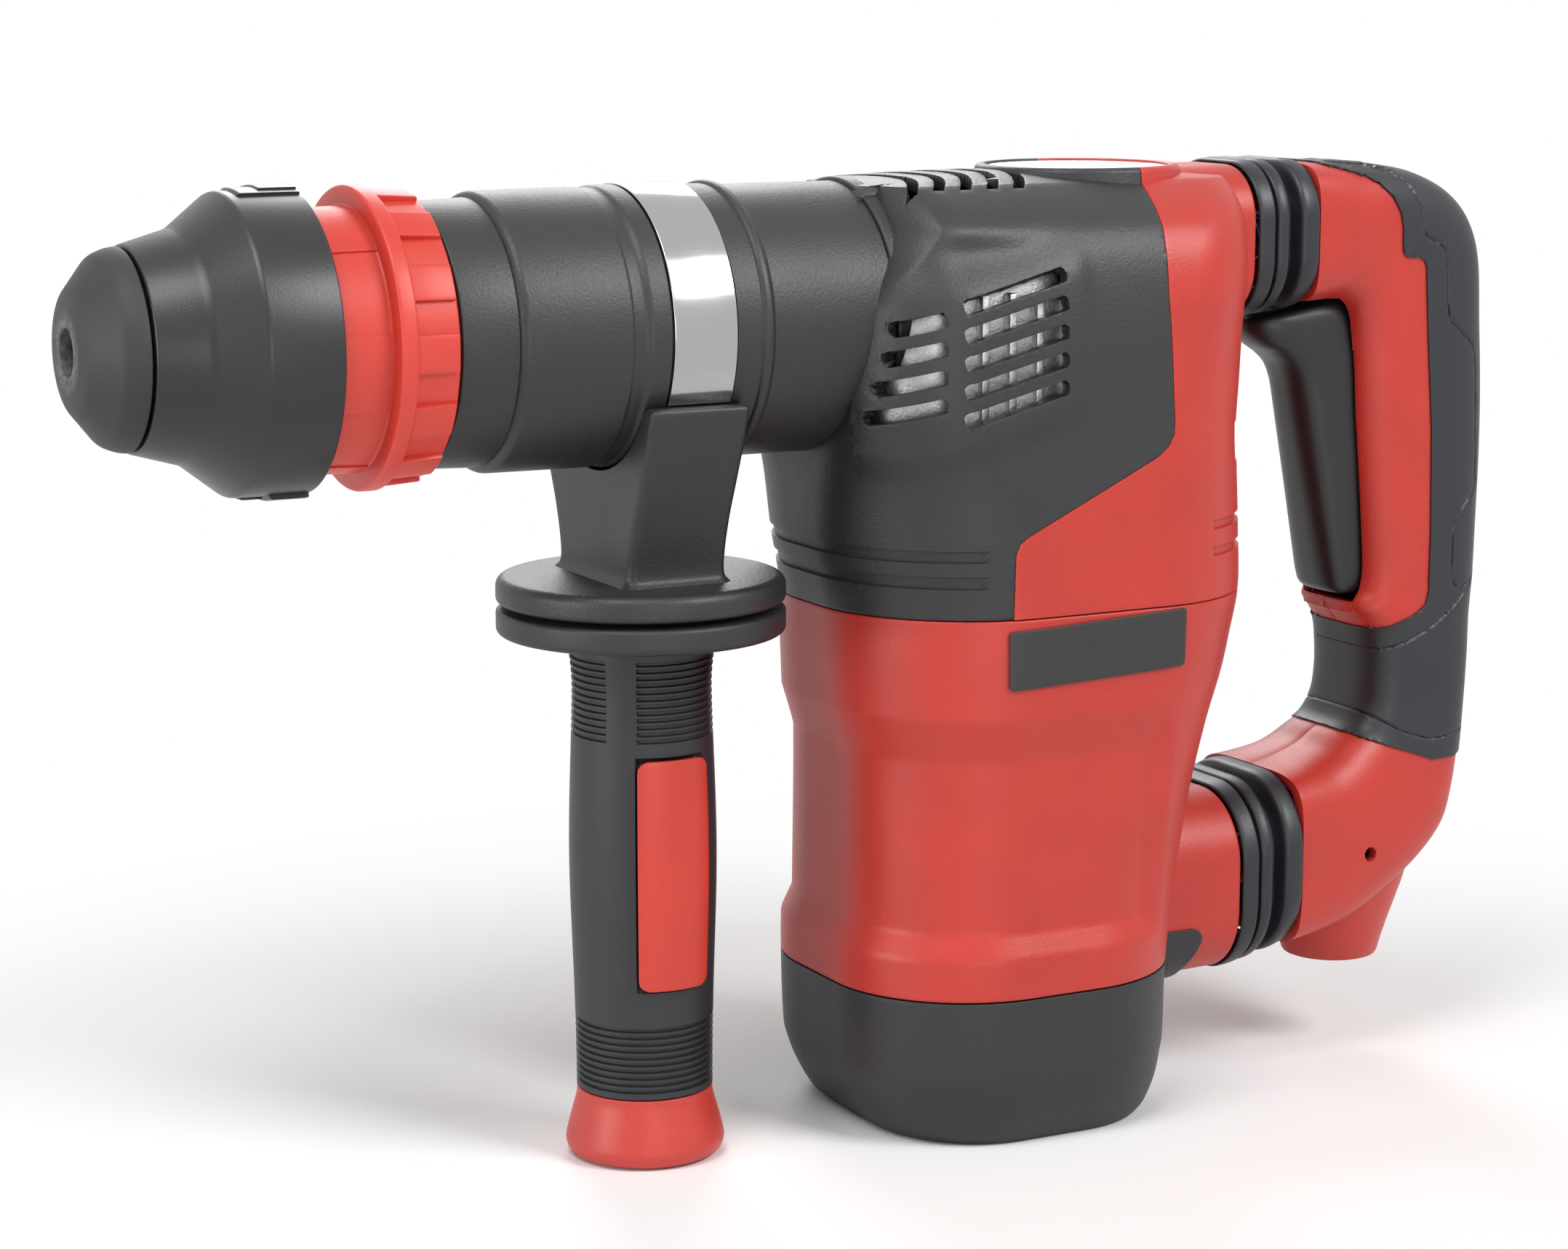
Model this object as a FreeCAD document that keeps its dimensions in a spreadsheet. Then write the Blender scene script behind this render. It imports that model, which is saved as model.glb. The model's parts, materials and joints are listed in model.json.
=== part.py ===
import FreeCAD, Part
import math
import os
from types import SimpleNamespace

import Sketcher
from FreeCAD import Placement, Rotation, Vector

# Rotary hammer with an upright motor. The origin is the centre of the flat foot under the motor,
# +Z is up the motor shaft and +X runs from the tool socket to the rear handle. Millimetres.

DRIVING = {
    # striking axis and tool end
    "axis_height": (194.0, "striking axis above the foot"),
    "socket_radius": (5.05, "bore for a 10 mm grooved shank"),
    "socket_depth": (55.0, "depth of the shank bore"),
    "nose_x": (-221.7, "tip of the dust cap"),
    "cap_hole": (5.27, "hole in the dust cap"),
    "cap_radius": (22.0, "rear rim of the dust cap"),
    "cap_rear_x": (-209.1, "joint of dust cap and sleeve"),
    "sleeve_waist_x": (-197.5, "rear of the sleeve's slim part"),
    "sleeve_waist_radius": (24.4, "radius there"),
    "collar_front_x": (-187.6, "front corner of the sleeve's collar"),
    "collar_rear_x": (-171.4, "rear edge of the collar"),
    "collar_radius": (33.2, "radius of the collar"),
    "collar_inner": (29.4, "bore of the collar over the ring's neck"),
    "sleeve_travel": (8.0, "pull-back of the sleeve"),
    "ring_neck_radius": (28.6, "neck of the adjusting ring"),
    "ring_flange_x": (-159.2, "front of the ring's flange"),
    "ring_grip_x": (-155.6, "front of the ring's grips"),
    "ring_rear_x": (-145.0, "rear of the adjusting ring"),
    "ring_radius": (33.4, "flange of the adjusting ring"),
    "ring_grip_radius": (31.8, "grips of the adjusting ring"),
    "neck_radius": (29.7, "neck ahead of the barrel"),
    "neck_tube_radius": (24.0, "tube that carries the ring"),
    "barrel_front_x": (-131.0, "shoulder of the barrel"),
    "barrel_rear_x": (-44.0, "rear end of the barrel"),
    "barrel_radius": (31.0, "barrel and strap seat"),
    "barrel_bore": (27.2, "inside of barrel and neck"),
    "spindle_nose_radius": (13.0, "spindle inside the sleeve"),
    "spindle_radius": (18.0, "spindle outside the cylinder bore"),
    "cylinder_bore": (15.0, "bore for piston and striker"),
    "beat_bore": (8.0, "bore for the beat piece"),
    "running_gap": (0.05, "radial gap of sliding pieces"),
    # side handle
    "strap_x": (-87.55, "middle of the strap along the barrel"),
    "strap_width": (15.3, "width of the strap"),
    "strap_thick": (1.0, "thickness of the strap"),
    "saddle_width": (22.8, "width of the saddle's post"),
    "side_x": (-89.0, "axis of the side handle"),
    "disc_radius": (33.3, "both hand guards"),
    "disc_top": (137.0, "top of the upper guard"),
    "disc_split": (130.0, "joint between the guards"),
    "disc_bottom": (123.5, "bottom of the lower guard"),
    "grip_radius": (16.8, "side grip"),
    "grip_end": (16.0, "top of the flared end"),
    "flare_radius": (19.0, "flared end"),
    # housings
    "cap_seam": (36.3, "joint of base cap and motor housing"),
    "body_seam": (126.6, "joint of motor housing and upper housing"),
    "body_half": (44.0, "half width of the housings"),
    "body_top": (227.5, "top of the upper housing"),
    "wall": (3.0, "thickness of the plastic shells"),
    "lid_x": (27.0, "middle of the crank case lid"),
    "lid_radius": (21.7, "crank case lid"),
    "arm_front_x": (62.5, "rear face of the lower arm"),
    "bulb_front_x": (81.0, "front of the handle's lower end"),
    "stub_rear_x": (66.3, "rear face of the upper arm's stub"),
    "arm_rear_x": (84.5, "front of the handle's upper arm"),
    # gear train
    "gear_module": (0.8, "module of the spur gears"),
    "pinion_teeth": (12, "teeth of the motor pinion"),
    "crank_teeth": (48, "teeth of the crank gear"),
    "idler_teeth": (36, "teeth of the intermediate gear"),
    "bevel_small": (5.6, "pitch radius of the bevel pinion"),
    "bevel_large": (22.4, "pitch radius of the bevel ring gear"),
    "gear_low": (140.0, "underside of the spur gears"),
    "gear_high": (148.0, "upper side of the spur gears"),
    "throw": (6.5, "crank radius, half the piston stroke"),
    "case_floor": (131.0, "underside of the gear case"),
    "case_top": (222.0, "top of the gear case"),
    "plate_low": (152.0, "underside of the bearing plate"),
    "plate_high": (157.0, "upper side of the bearing plate"),
    # rear handle
    "handle_half": (17.0, "half width of the rear handle"),
    "trigger_half": (10.0, "half width of the trigger"),
    "slot_gap": (0.4, "gap beside the trigger"),
    "pivot_x": (97.0, "trigger pivot along the handle"),
    "pivot_z": (197.0, "height of the trigger pivot"),
    "cover_thick": (4.0, "soft cover on the back of the handle"),
    "outlet_x": (107.0, "axis of the cable outlet"),
    "outlet_z": (23.0, "lower rim of the cable outlet"),
    "outlet_bore": (4.5, "hole for the cable"),
}

doc = FreeCAD.newDocument("RotaryHammer")
sheet = doc.addObject("Spreadsheet::Sheet", "Sizes")


class Size:
    """A number that carries the spreadsheet expression it comes from."""

    def __init__(self, value, text):
        self.value = value
        self.text = text

    def _with(self, sign, other, value, swap=False):
        left, right = (text(other), self.text) if swap else (self.text, text(other))
        return Size(value, f"({left} {sign} {right})")

    def __add__(self, other):
        return self._with("+", other, self.value + number(other))

    def __radd__(self, other):
        return self._with("+", other, self.value + number(other), swap=True)

    def __sub__(self, other):
        return self._with("-", other, self.value - number(other))

    def __rsub__(self, other):
        return self._with("-", other, number(other) - self.value, swap=True)

    def __mul__(self, other):
        return self._with("*", other, self.value * number(other))

    def __rmul__(self, other):
        return self._with("*", other, self.value * number(other), swap=True)

    def __truediv__(self, other):
        return self._with("/", other, self.value / number(other))

    def __neg__(self):
        return Size(-self.value, f"(0 - {self.text})")


def number(size):
    return size.value if isinstance(size, Size) else size


def text(size):
    return size.text if isinstance(size, Size) else f"({size})"


def fill_sheet():
    """Write the driving dimensions and return them as named sizes."""
    named = {}
    for row, (name, (value, note)) in enumerate(DRIVING.items(), start=1):
        sheet.set(f"A{row}", note)
        sheet.set(f"B{row}", str(value))
        sheet.setAlias(f"B{row}", name)
        named[name] = Size(value, f"Sizes.{name}")
    doc.recompute()
    return SimpleNamespace(**named)


s = fill_sheet()
nodes = []


def node(item):
    """Mark an object as a sub-part that gets a file of its own."""
    nodes.append(item)
    return item


def move(item, x=0, y=0, z=0):
    """Place an object, with its place tied to the sheet."""
    for letter, size in (("x", x), ("y", y), ("z", z)):
        if number(size) != 0:
            item.setExpression(f"Placement.Base.{letter}", text(size))
    return item


# Sketches ----------------------------------------------------------------------------------


def new_sketch(body, plane, offset=0):
    """A sketch on one of its own body's origin planes, lifted by offset."""
    sketch = body.newObject("Sketcher::SketchObject", f"{body.Name}_sketch")
    support = next(face for face in body.Origin.OriginFeatures if face.Role == plane)
    sketch.AttachmentSupport = [(support, "")]
    sketch.MapMode = "FlatFace"
    if number(offset) != 0:
        sketch.setExpression("AttachmentOffset.Base.z", text(offset))
    return sketch


def hold(sketch, kind, line, size, point=1):
    """Tie one coordinate of a line's end to the sheet."""
    if number(size) == 0:
        axis = -2 if kind == "DistanceX" else -1
        sketch.addConstraint(Sketcher.Constraint("PointOnObject", line, point, axis))
        return
    index = sketch.addConstraint(Sketcher.Constraint(kind, -1, 1, line, point, number(size)))
    sketch.setExpression(f"Constraints[{index}]", text(size))


def polygon(body, plane, points):
    """A closed outline of straight lines, every corner tied to the sheet."""
    sketch = new_sketch(body, plane)
    corners = [Vector(number(across), number(up), 0) for across, up in points]
    for start, end in zip(corners, corners[1:] + corners[:1]):
        sketch.addGeometry(Part.LineSegment(start, end))
    for line in range(len(points)):
        following = (line + 1) % len(points)
        sketch.addConstraint(Sketcher.Constraint("Coincident", line, 2, following, 1))
    for line, (across, up) in enumerate(points):
        hold(sketch, "DistanceX", line, across)
        hold(sketch, "DistanceY", line, up)
    return sketch


def rounded(body, plane, offset, left, right, low, high, corner):
    """A rectangle with round corners, as a section of a shell."""
    sketch = new_sketch(body, plane, offset)
    a, b, c, d, r = (number(size) for size in (left, right, low, high, corner))
    centres = ((b - r, c + r), (b - r, d - r), (a + r, d - r), (a + r, c + r))
    ends = []
    for turn, (across, up) in enumerate(centres):
        first = Vector(across, up, 0) + r * Vector(*side(turn - 1))
        last = Vector(across, up, 0) + r * Vector(*side(turn))
        ends.append((first, last))
    for turn, (across, up) in enumerate(centres):
        before = ends[turn - 1][1]
        sketch.addGeometry(Part.LineSegment(before, ends[turn][0]))
        circle = Part.Circle(Vector(across, up, 0), Vector(0, 0, 1), r)
        start = (turn - 1) * math.pi / 2
        sketch.addGeometry(Part.ArcOfCircle(circle, start, start + math.pi / 2))
    for piece in range(8):
        following = (piece + 1) % 8
        sketch.addConstraint(Sketcher.Constraint("Tangent", piece, 2, following, 1))
    for line, kind in ((0, "Horizontal"), (2, "Vertical")):
        sketch.addConstraint(Sketcher.Constraint(kind, line))
    for arc in (3, 5, 7):
        sketch.addConstraint(Sketcher.Constraint("Equal", 1, arc))
    index = sketch.addConstraint(Sketcher.Constraint("Radius", 1, r))
    sketch.setExpression(f"Constraints[{index}]", text(corner))
    hold(sketch, "DistanceY", 0, low)
    hold(sketch, "DistanceX", 2, right)
    hold(sketch, "DistanceY", 4, high)
    hold(sketch, "DistanceX", 6, left)
    return sketch


def side(turn):
    """Unit direction after a number of quarter turns from +X."""
    return ((1, 0), (0, 1), (-1, 0), (0, -1))[turn % 4] + (0,)


# Solids ------------------------------------------------------------------------------------


def turned(label, along, points, x=0, z=0):
    """A lathe-turned piece: points are (distance along the axis, radius)."""
    body = doc.addObject("PartDesign::Body", label)
    if along == "X":
        sketch = polygon(body, "XZ_Plane", points)
    else:
        sketch = polygon(body, "XZ_Plane", [(radius, reach) for reach, radius in points])
    turn = body.newObject("PartDesign::Revolution", f"{label}_turn")
    turn.Profile = sketch
    turn.ReferenceAxis = (sketch, ["H_Axis" if along == "X" else "V_Axis"])
    turn.Angle = 360
    body.Tip = turn
    return move(body, x=x, z=z)


def tube(label, along, start, end, inner, outer, x=0, z=0):
    """A plain ring or tube between two stations of its axis."""
    return turned(label, along, [(start, inner), (end, inner), (end, outer), (start, outer)], x, z)


def padded(label, plane, points, reach, both=True, shift=(0, 0, 0)):
    """An outline given thickness, to both sides of its plane or to one."""
    body = doc.addObject("PartDesign::Body", label)
    pad = body.newObject("PartDesign::Pad", f"{label}_pad")
    pad.Profile = polygon(body, plane, points)
    pad.SideType = "Symmetric" if both else "One side"
    pad.setExpression("Length", text(reach))
    body.Tip = pad
    return move(body, *shift)


def lofted(label, plane, sections):
    """A shell form through rounded sections (offset, left, right, low, high, corner)."""
    body = doc.addObject("PartDesign::Body", label)
    sketches = [rounded(body, plane, *section) for section in sections]
    loft = body.newObject("PartDesign::AdditiveLoft", f"{label}_loft")
    loft.Profile = sketches[0]
    loft.Sections = sketches[1:]
    body.Tip = loft
    return body


def rod(label, along, radius, start, end, x=0, y=0, z=0):
    """A plain cylinder from start to end along an axis direction."""
    item = doc.addObject("Part::Cylinder", label)
    item.setExpression("Radius", text(radius))
    item.setExpression("Height", text(end - start))
    turn = {"X": Rotation(Vector(0, 1, 0), 90), "Y": Rotation(Vector(1, 0, 0), -90), "Z": Rotation()}
    item.Placement = Placement(Vector(), turn[along])
    place = {"X": x, "Y": y, "Z": z}
    place[along] = place[along] + start
    return move(item, place["X"], place["Y"], place["Z"])


def block(label, x, y, z):
    """A box between pairs of limits."""
    item = doc.addObject("Part::Box", label)
    for prop, (low, high) in (("Length", x), ("Width", y), ("Height", z)):
        item.setExpression(prop, text(high - low))
    return move(item, x[0], y[0], z[0])


def cut(label, base, *tools):
    """A base with one or more tools taken away."""
    item = doc.addObject("Part::Cut", label)
    item.Base = base
    item.Tool = tools[0] if len(tools) == 1 else joined(f"{label}_tools", *tools)
    return item


def joined(label, *pieces):
    item = doc.addObject("Part::MultiFuse", label)
    item.Shapes = list(pieces)
    return item


def shared(label, base, tool):
    """What two solids have in common."""
    item = doc.addObject("Part::Common", label)
    item.Base = base
    item.Tool = tool
    return item


def group(label, *pieces):
    """Like pieces that share one file as separate solids."""
    item = doc.addObject("Part::Compound", label)
    item.Links = list(pieces)
    return item


def coil(label, along, radius, wire, pitch, start, end, x=0, y=0, z=0):
    """A helical spring of round wire between two stations."""
    helix = doc.addObject("Part::Helix", f"{label}_helix")
    helix.setExpression("Radius", text(radius))
    helix.setExpression("Pitch", text(pitch))
    helix.setExpression("Height", text(end - start - 2 * wire))
    ring = doc.addObject("Part::Circle", f"{label}_wire")
    ring.setExpression("Radius", text(wire))
    ring.Placement = Placement(Vector(number(radius), 0, 0), Rotation(Vector(1, 0, 0), 90))
    spring = doc.addObject("Part::Sweep", label)
    spring.Sections = [ring]
    spring.Spine = (helix, ["Edge1"])
    spring.Solid = True
    spring.Frenet = True
    turn = {"X": Rotation(Vector(0, 1, 0), 90), "Z": Rotation()}
    spring.Placement = Placement(Vector(), turn[along])
    place = {"X": x, "Y": y, "Z": z}
    place[along] = place[along] + start + wire
    return move(spring, place["X"], place["Y"], place["Z"])


# Tool end: turns with the spindle ------------------------------------------------------------

BALL_X = -186.0
BALL_RADIUS = 3.5
SPINDLE_FRONT = -206.5
SPINDLE_REAR = 4.0
SPINDLE_STEP = -150.0
CYLINDER_FRONT = -115.0


def make_spindle():
    socket_end = SPINDLE_FRONT + s.socket_depth
    blank = turned("spindle_blank", "X", [
        (SPINDLE_FRONT, s.socket_radius),
        (socket_end, s.socket_radius),
        (socket_end, s.beat_bore),
        (CYLINDER_FRONT, s.beat_bore),
        (CYLINDER_FRONT, s.cylinder_bore),
        (SPINDLE_REAR, s.cylinder_bore),
        (SPINDLE_REAR, s.spindle_radius),
        (SPINDLE_STEP, s.spindle_radius),
        (SPINDLE_STEP, s.spindle_nose_radius),
        (SPINDLE_FRONT, s.spindle_nose_radius),
    ], z=s.axis_height)
    reach = s.spindle_radius + 1
    seats = rod("spindle_ball_seats", "Y", BALL_RADIUS + s.running_gap, -reach, reach,
                x=BALL_X, z=s.axis_height)
    return node(cut("spindle", blank, seats))


def make_locking_balls():
    balls = []
    for hand in (-1, 1):
        ball = doc.addObject("Part::Sphere", f"locking_ball_{hand + 1}")
        ball.Radius = BALL_RADIUS
        balls.append(move(ball, BALL_X, hand * (s.socket_radius + BALL_RADIUS + 0.5), s.axis_height))
    return node(group("locking_balls", *balls))


def make_dust_cap():
    return node(turned("dust_cap", "X", [
        (s.nose_x, s.cap_hole),
        (SPINDLE_FRONT, s.cap_hole),
        (SPINDLE_FRONT, s.spindle_nose_radius),
        (s.cap_rear_x + 8, s.spindle_nose_radius),
        (s.cap_rear_x + 8, s.cap_radius - 3.5),
        (s.cap_rear_x - 0.4, s.cap_radius - 3.5),
        (s.cap_rear_x - 0.4, s.cap_radius),
        (s.nose_x + 2.6, s.cap_hole + 9.6),
        (s.nose_x, s.cap_hole + 7.6),
    ], z=s.axis_height))


def make_locking_sleeve():
    web = s.cap_rear_x + 9
    return node(turned("locking_sleeve", "X", [
        (s.cap_rear_x, s.cap_radius - 3.1),
        (web, s.cap_radius - 3.1),
        (web, s.spindle_nose_radius + 0.3),
        (web + 4, s.spindle_nose_radius + 0.3),
        (web + 4, s.cap_radius - 2),
        (s.collar_front_x + 2, s.collar_inner),
        (s.collar_rear_x, s.collar_inner),
        (s.collar_rear_x, s.collar_radius),
        (s.collar_front_x, s.collar_radius),
        (s.sleeve_waist_x, s.sleeve_waist_radius),
        (s.cap_rear_x, s.cap_radius - 0.3),
    ], z=s.axis_height))


def make_sleeve_spring_parts():
    seat = s.collar_rear_x - 4
    node(tube("spring_seat", "X", seat, seat + 2.5, s.spindle_nose_radius, 17.5, z=s.axis_height))
    front = s.cap_rear_x + 13.2
    return node(coil("sleeve_spring", "X", 15.4, 0.8, 4.4, front, seat - 0.2, z=s.axis_height))


def make_bevel_ring_gear():
    pitch_x = -s.bevel_small - IDLER_OFFSET
    tooth = s.bevel_small / s.bevel_large
    return node(turned("bevel_ring_gear", "X", [
        (pitch_x - 9.5, s.spindle_radius),
        (pitch_x - 9.5, s.spindle_radius + 3),
        (pitch_x - 3.5, s.bevel_large + 1.6),
        (pitch_x - 0.5, s.bevel_large),
        (pitch_x - 0.5 + tooth * (s.bevel_large - s.spindle_radius), s.spindle_radius),
    ], z=s.axis_height))


def make_striking_train():
    slide = s.cylinder_bore - s.running_gap
    node(turned("beat_piece", "X", [
        (-149.5, 0), (-149.5, 5.0), (-136, 5.0), (-134, s.beat_bore - s.running_gap),
        (-124, s.beat_bore - s.running_gap), (-122, 6.0), (-119, 6.0), (-119, 0),
    ], z=s.axis_height))
    node(turned("striker", "X", [
        (-114, 0), (-114, 6.5), (-107, 6.5), (-107, slide), (-80, slide), (-80, 0),
    ], z=s.axis_height))
    shell = turned("piston_blank", "X", [
        (-52, 0), (-52, slide), (-8, slide), (-8, slide - 2.2), (-40, slide - 2.2), (-40, 0),
    ], z=s.axis_height)
    bosses = []
    for hand in (-1, 1):
        low, high = sorted((hand * 6.6, hand * 13.2))
        boss = rod(f"piston_boss_{hand + 1}", "Z", 5.0, s.axis_height + low, s.axis_height + high, x=-20)
        bosses.append(boss)
    return node(joined("piston", shell, *bosses))


# Gear train ----------------------------------------------------------------------------------

PRESSURE = math.radians(20)
BACKLASH = 0.16
CRANK_OFFSET = s.gear_module * (s.pinion_teeth + s.crank_teeth) / 2
IDLER_OFFSET = s.gear_module * (s.pinion_teeth + s.idler_teeth) / 2
CASE_INSET = 4.5
CASE_WALL = 4.0
REAR_BEARING = (-46.0, -39.0)


def involute(angle):
    return math.tan(angle) - angle


def tooth_flank(teeth, module):
    """Polar points (radius, angle from the tooth's middle), root to tip."""
    pitch = teeth * module / 2
    base = pitch * math.cos(PRESSURE)
    tip = pitch + 0.6 * module
    half = math.pi / (2 * teeth) - BACKLASH / (4 * pitch)
    start = max(base, pitch - 0.8 * module)
    flank = []
    for step in range(5):
        radius = start + (tip - start) * step / 4
        angle = half + involute(PRESSURE) - involute(math.acos(min(1.0, base / radius)))
        flank.append((radius, angle))
    return [(pitch - 0.95 * module, flank[0][1])] + flank


def toothed_wheel(label, teeth, bore, low, high, x, gap_at):
    """A spur gear with involute teeth and a gap between teeth at angle gap_at."""
    count = int(number(teeth))
    flank = tooth_flank(count, number(s.gear_module))
    points = []
    for tooth in range(count):
        middle = gap_at + (tooth + 0.5) * 2 * math.pi / count
        for radius, angle in flank:
            points.append((radius, middle - angle))
        for radius, angle in reversed(flank):
            points.append((radius, middle + angle))
    corners = [Vector(r * math.cos(a), r * math.sin(a), 0) for r, a in points]
    face = Part.Face(Part.makePolygon(corners + corners[:1]))
    height = number(high) - number(low)
    wheel = face.extrude(Vector(0, 0, height))
    wheel = wheel.cut(Part.makeCylinder(number(bore), height))
    item = doc.addObject("Part::Feature", label)
    item.Shape = wheel
    item.Placement = Placement(Vector(number(x), 0, number(low)), Rotation())
    return node(item)


def make_spur_gears():
    half_pitch = math.pi / number(s.pinion_teeth)
    toothed_wheel("motor_pinion", s.pinion_teeth, 2.5, s.gear_low - 2, s.gear_high + 1, 0, half_pitch)
    toothed_wheel("crank_gear", s.crank_teeth, 5.0, s.gear_low, s.gear_high, CRANK_OFFSET, math.pi)
    toothed_wheel("intermediate_gear", s.idler_teeth, 3.5, s.gear_low, s.gear_high, -IDLER_OFFSET, 0)


def make_intermediate_shaft():
    large = s.axis_height - s.bevel_large
    return node(turned("intermediate_shaft", "Z", [
        (s.case_floor + 0.5, 0), (s.case_floor + 0.5, 3.5), (large - 4, 3.5), (large - 4, 4.8),
        (large, s.bevel_small - 0.25), (large + 3.2, s.bevel_small - 1.05), (large + 3.2, 0),
    ], x=-IDLER_OFFSET))


def make_crank():
    disc = s.axis_height - 16
    shaft = turned("crank_blank", "Z", [
        (s.case_floor + 0.5, 0), (s.case_floor + 0.5, 5.0), (disc, 5.0), (disc, 12.0),
        (disc + 6, 12.0), (disc + 6, 0),
    ], x=CRANK_OFFSET)
    pin = rod("crank_pin", "Z", 4.0, disc + 6, s.axis_height + 6.4, x=CRANK_OFFSET - s.throw)
    node(joined("crank_shaft", shaft, pin))
    top = s.axis_height + 5.3
    low = s.axis_height - 5.3
    big = rod("rod_big_end", "Z", 8.5, low, top, x=CRANK_OFFSET - s.throw)
    small = rod("rod_small_end", "Z", 4.4, low, top, x=-20)
    shank = block("rod_shank", (-20, CRANK_OFFSET - s.throw), (-3.2, 3.2),
                  (s.axis_height - 3.6, s.axis_height + 3.6))
    eye = rod("rod_eye", "Z", 4.0 + s.running_gap, low - 1, top + 1, x=CRANK_OFFSET - s.throw)
    hole = rod("rod_pin_hole", "Z", 2.5, low - 1, top + 1, x=-20)
    node(cut("connecting_rod", joined("rod_blank", big, small, shank), eye, hole))
    node(rod("piston_pin", "Z", 2.5, low - 0.6, top + 0.6, x=-20))


def make_gear_case():
    outer = shell_form("case_outer", UPPER_SECTIONS, CASE_INSET, low=s.case_floor, high=s.case_top)
    inner = shell_form("case_inner", UPPER_SECTIONS, CASE_INSET + CASE_WALL,
                       low=s.case_floor + CASE_WALL, high=s.case_top - CASE_WALL)
    seat_front = s.barrel_rear_x + 0.3
    barrel_room = rod("case_barrel_room", "X", s.barrel_radius + 0.3, -60.0, seat_front, z=s.axis_height)
    flange = rod("case_flange", "X", s.barrel_radius + 2, seat_front, REAR_BEARING[1], z=s.axis_height)
    flange = shared("case_seat", flange, outer)
    spigot = rod("case_spigot", "X", s.barrel_bore - 0.1, REAR_BEARING[0] - 0.5, REAR_BEARING[1],
                 z=s.axis_height)
    shell = cut("case_shell", outer, inner, barrel_room)
    low = s.case_floor - 1
    high = s.case_floor + CASE_WALL + 1
    holes = [
        rod("case_spindle_hole", "X", 24.5, -55.0, REAR_BEARING[1] + 1, z=s.axis_height),
        rod("case_motor_seat", "Z", 10.0, low, high),
        rod("case_crank_seat", "Z", 9.0, low, high, x=CRANK_OFFSET),
        rod("case_idler_seat", "Z", 7.5, low, high, x=-IDLER_OFFSET),
        rod("case_lid_hole", "Z", 17.0, s.case_top - 5, s.case_top + 1, x=s.lid_x),
    ]
    node(cut("gear_case", joined("case_blank", shell, flange, spigot), *holes))
    layer = block("plate_layer", (-60, 70), (-50, 50), (s.plate_low, s.plate_high))
    seats = [
        rod("plate_crank_seat", "Z", 9.0, s.plate_low - 1, s.plate_high + 1, x=CRANK_OFFSET),
        rod("plate_idler_seat", "Z", 7.0, s.plate_low - 1, s.plate_high + 1, x=-IDLER_OFFSET),
    ]
    node(cut("bearing_plate", shared("plate_blank", inner, layer), *seats))


def make_bearings():
    gap = s.running_gap
    floor = (s.case_floor, s.case_floor + CASE_WALL)
    plate = (s.plate_low, s.plate_high)
    rings = [
        tube("bearing_spindle_front", "X", -140.8, -132.0, s.spindle_radius + gap, s.barrel_bore,
             z=s.axis_height),
        tube("bearing_spindle_rear", "X", *REAR_BEARING, s.spindle_radius + gap, 24.5, z=s.axis_height),
        tube("bearing_motor_upper", "Z", floor[0], floor[1], 5.0 + gap, 10.0),
        tube("bearing_motor_lower", "Z", 14.0, 22.0, 4.0 + gap, 9.5),
        tube("bearing_crank_low", "Z", floor[0], floor[1], 5.0 + gap, 9.0, x=CRANK_OFFSET),
        tube("bearing_crank_high", "Z", plate[0], plate[1], 5.0 + gap, 9.0, x=CRANK_OFFSET),
        tube("bearing_idler_low", "Z", floor[0], floor[1], 3.5 + gap, 7.5, x=-IDLER_OFFSET),
        tube("bearing_idler_high", "Z", plate[0], plate[1], 3.5 + gap, 7.0, x=-IDLER_OFFSET),
    ]
    return node(group("bearings", *rings))


# Motor -----------------------------------------------------------------------------------------


def make_motor():
    node(turned("armature_shaft", "Z", [
        (14.5, 0), (14.5, 4.0), (24, 4.0), (24, 5.0), (s.gear_low - 2, 5.0), (s.gear_low - 2, 2.5),
        (s.gear_high + 2, 2.5), (s.gear_high + 2, 0),
    ]))
    node(tube("armature_core", "Z", 52, 100, 5.0, 22.0))
    node(tube("commutator", "Z", 26, 44, 5.0, 13.0))
    node(make_fan())
    node(tube("stator", "Z", 50, 102, 22.6, 37.0))
    low = tube("field_winding_low", "Z", 45.5, 49.8, 24, 36)
    high = tube("field_winding_high", "Z", 102.2, 104.6, 24, 36)
    node(group("field_windings", low, high))
    brushes = []
    holders = []
    for hand in (-1, 1):
        inner, outer = sorted((hand * 13.2, hand * 28.0))
        brushes.append(block(f"brush_{hand + 1}", (-3, 3), (inner, outer), (31, 39)))
        inner, outer = sorted((hand * 16.0, hand * 36.0))
        shell = block(f"holder_blank_{hand + 1}", (-5, 5), (inner, outer), (29, 41))
        inner, outer = sorted((hand * 15.0, hand * 34.0))
        hollow = block(f"holder_hollow_{hand + 1}", (-3.1, 3.1), (inner, outer), (30.9, 39.1))
        holders.append(cut(f"holder_{hand + 1}", shell, hollow))
    node(group("carbon_brushes", *brushes))
    node(group("brush_holders", *holders))
    node(turned("motor_end_frame", "Z", [
        (10, 0), (10, 35.5), (13.5, 35.5), (13.5, 13), (22, 13), (22, 9.5), (13.6, 9.5), (13.6, 0),
    ]))


def make_fan():
    disc = tube("fan_disc", "Z", 106.5, 108.5, 5.0, 35.0)
    hub = tube("fan_hub", "Z", 106.5, 117, 5.0, 9.0)
    count = 10
    blades = []
    for index in range(count):
        blade = doc.addObject("Part::Box", f"fan_blade_{index}")
        blade.Length = 19.0
        blade.Width = 1.6
        blade.Height = 8.0
        angle = 360 * index / count
        start = Rotation(Vector(0, 0, 1), angle).multVec(Vector(15.0, -0.8, 0))
        blade.Placement = Placement(start + Vector(0, 0, 108.5), Rotation(Vector(0, 0, 1), angle + 18))
        blades.append(blade)
    return joined("cooling_fan", disc, hub, *blades)


# Housings --------------------------------------------------------------------------------------

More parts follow.
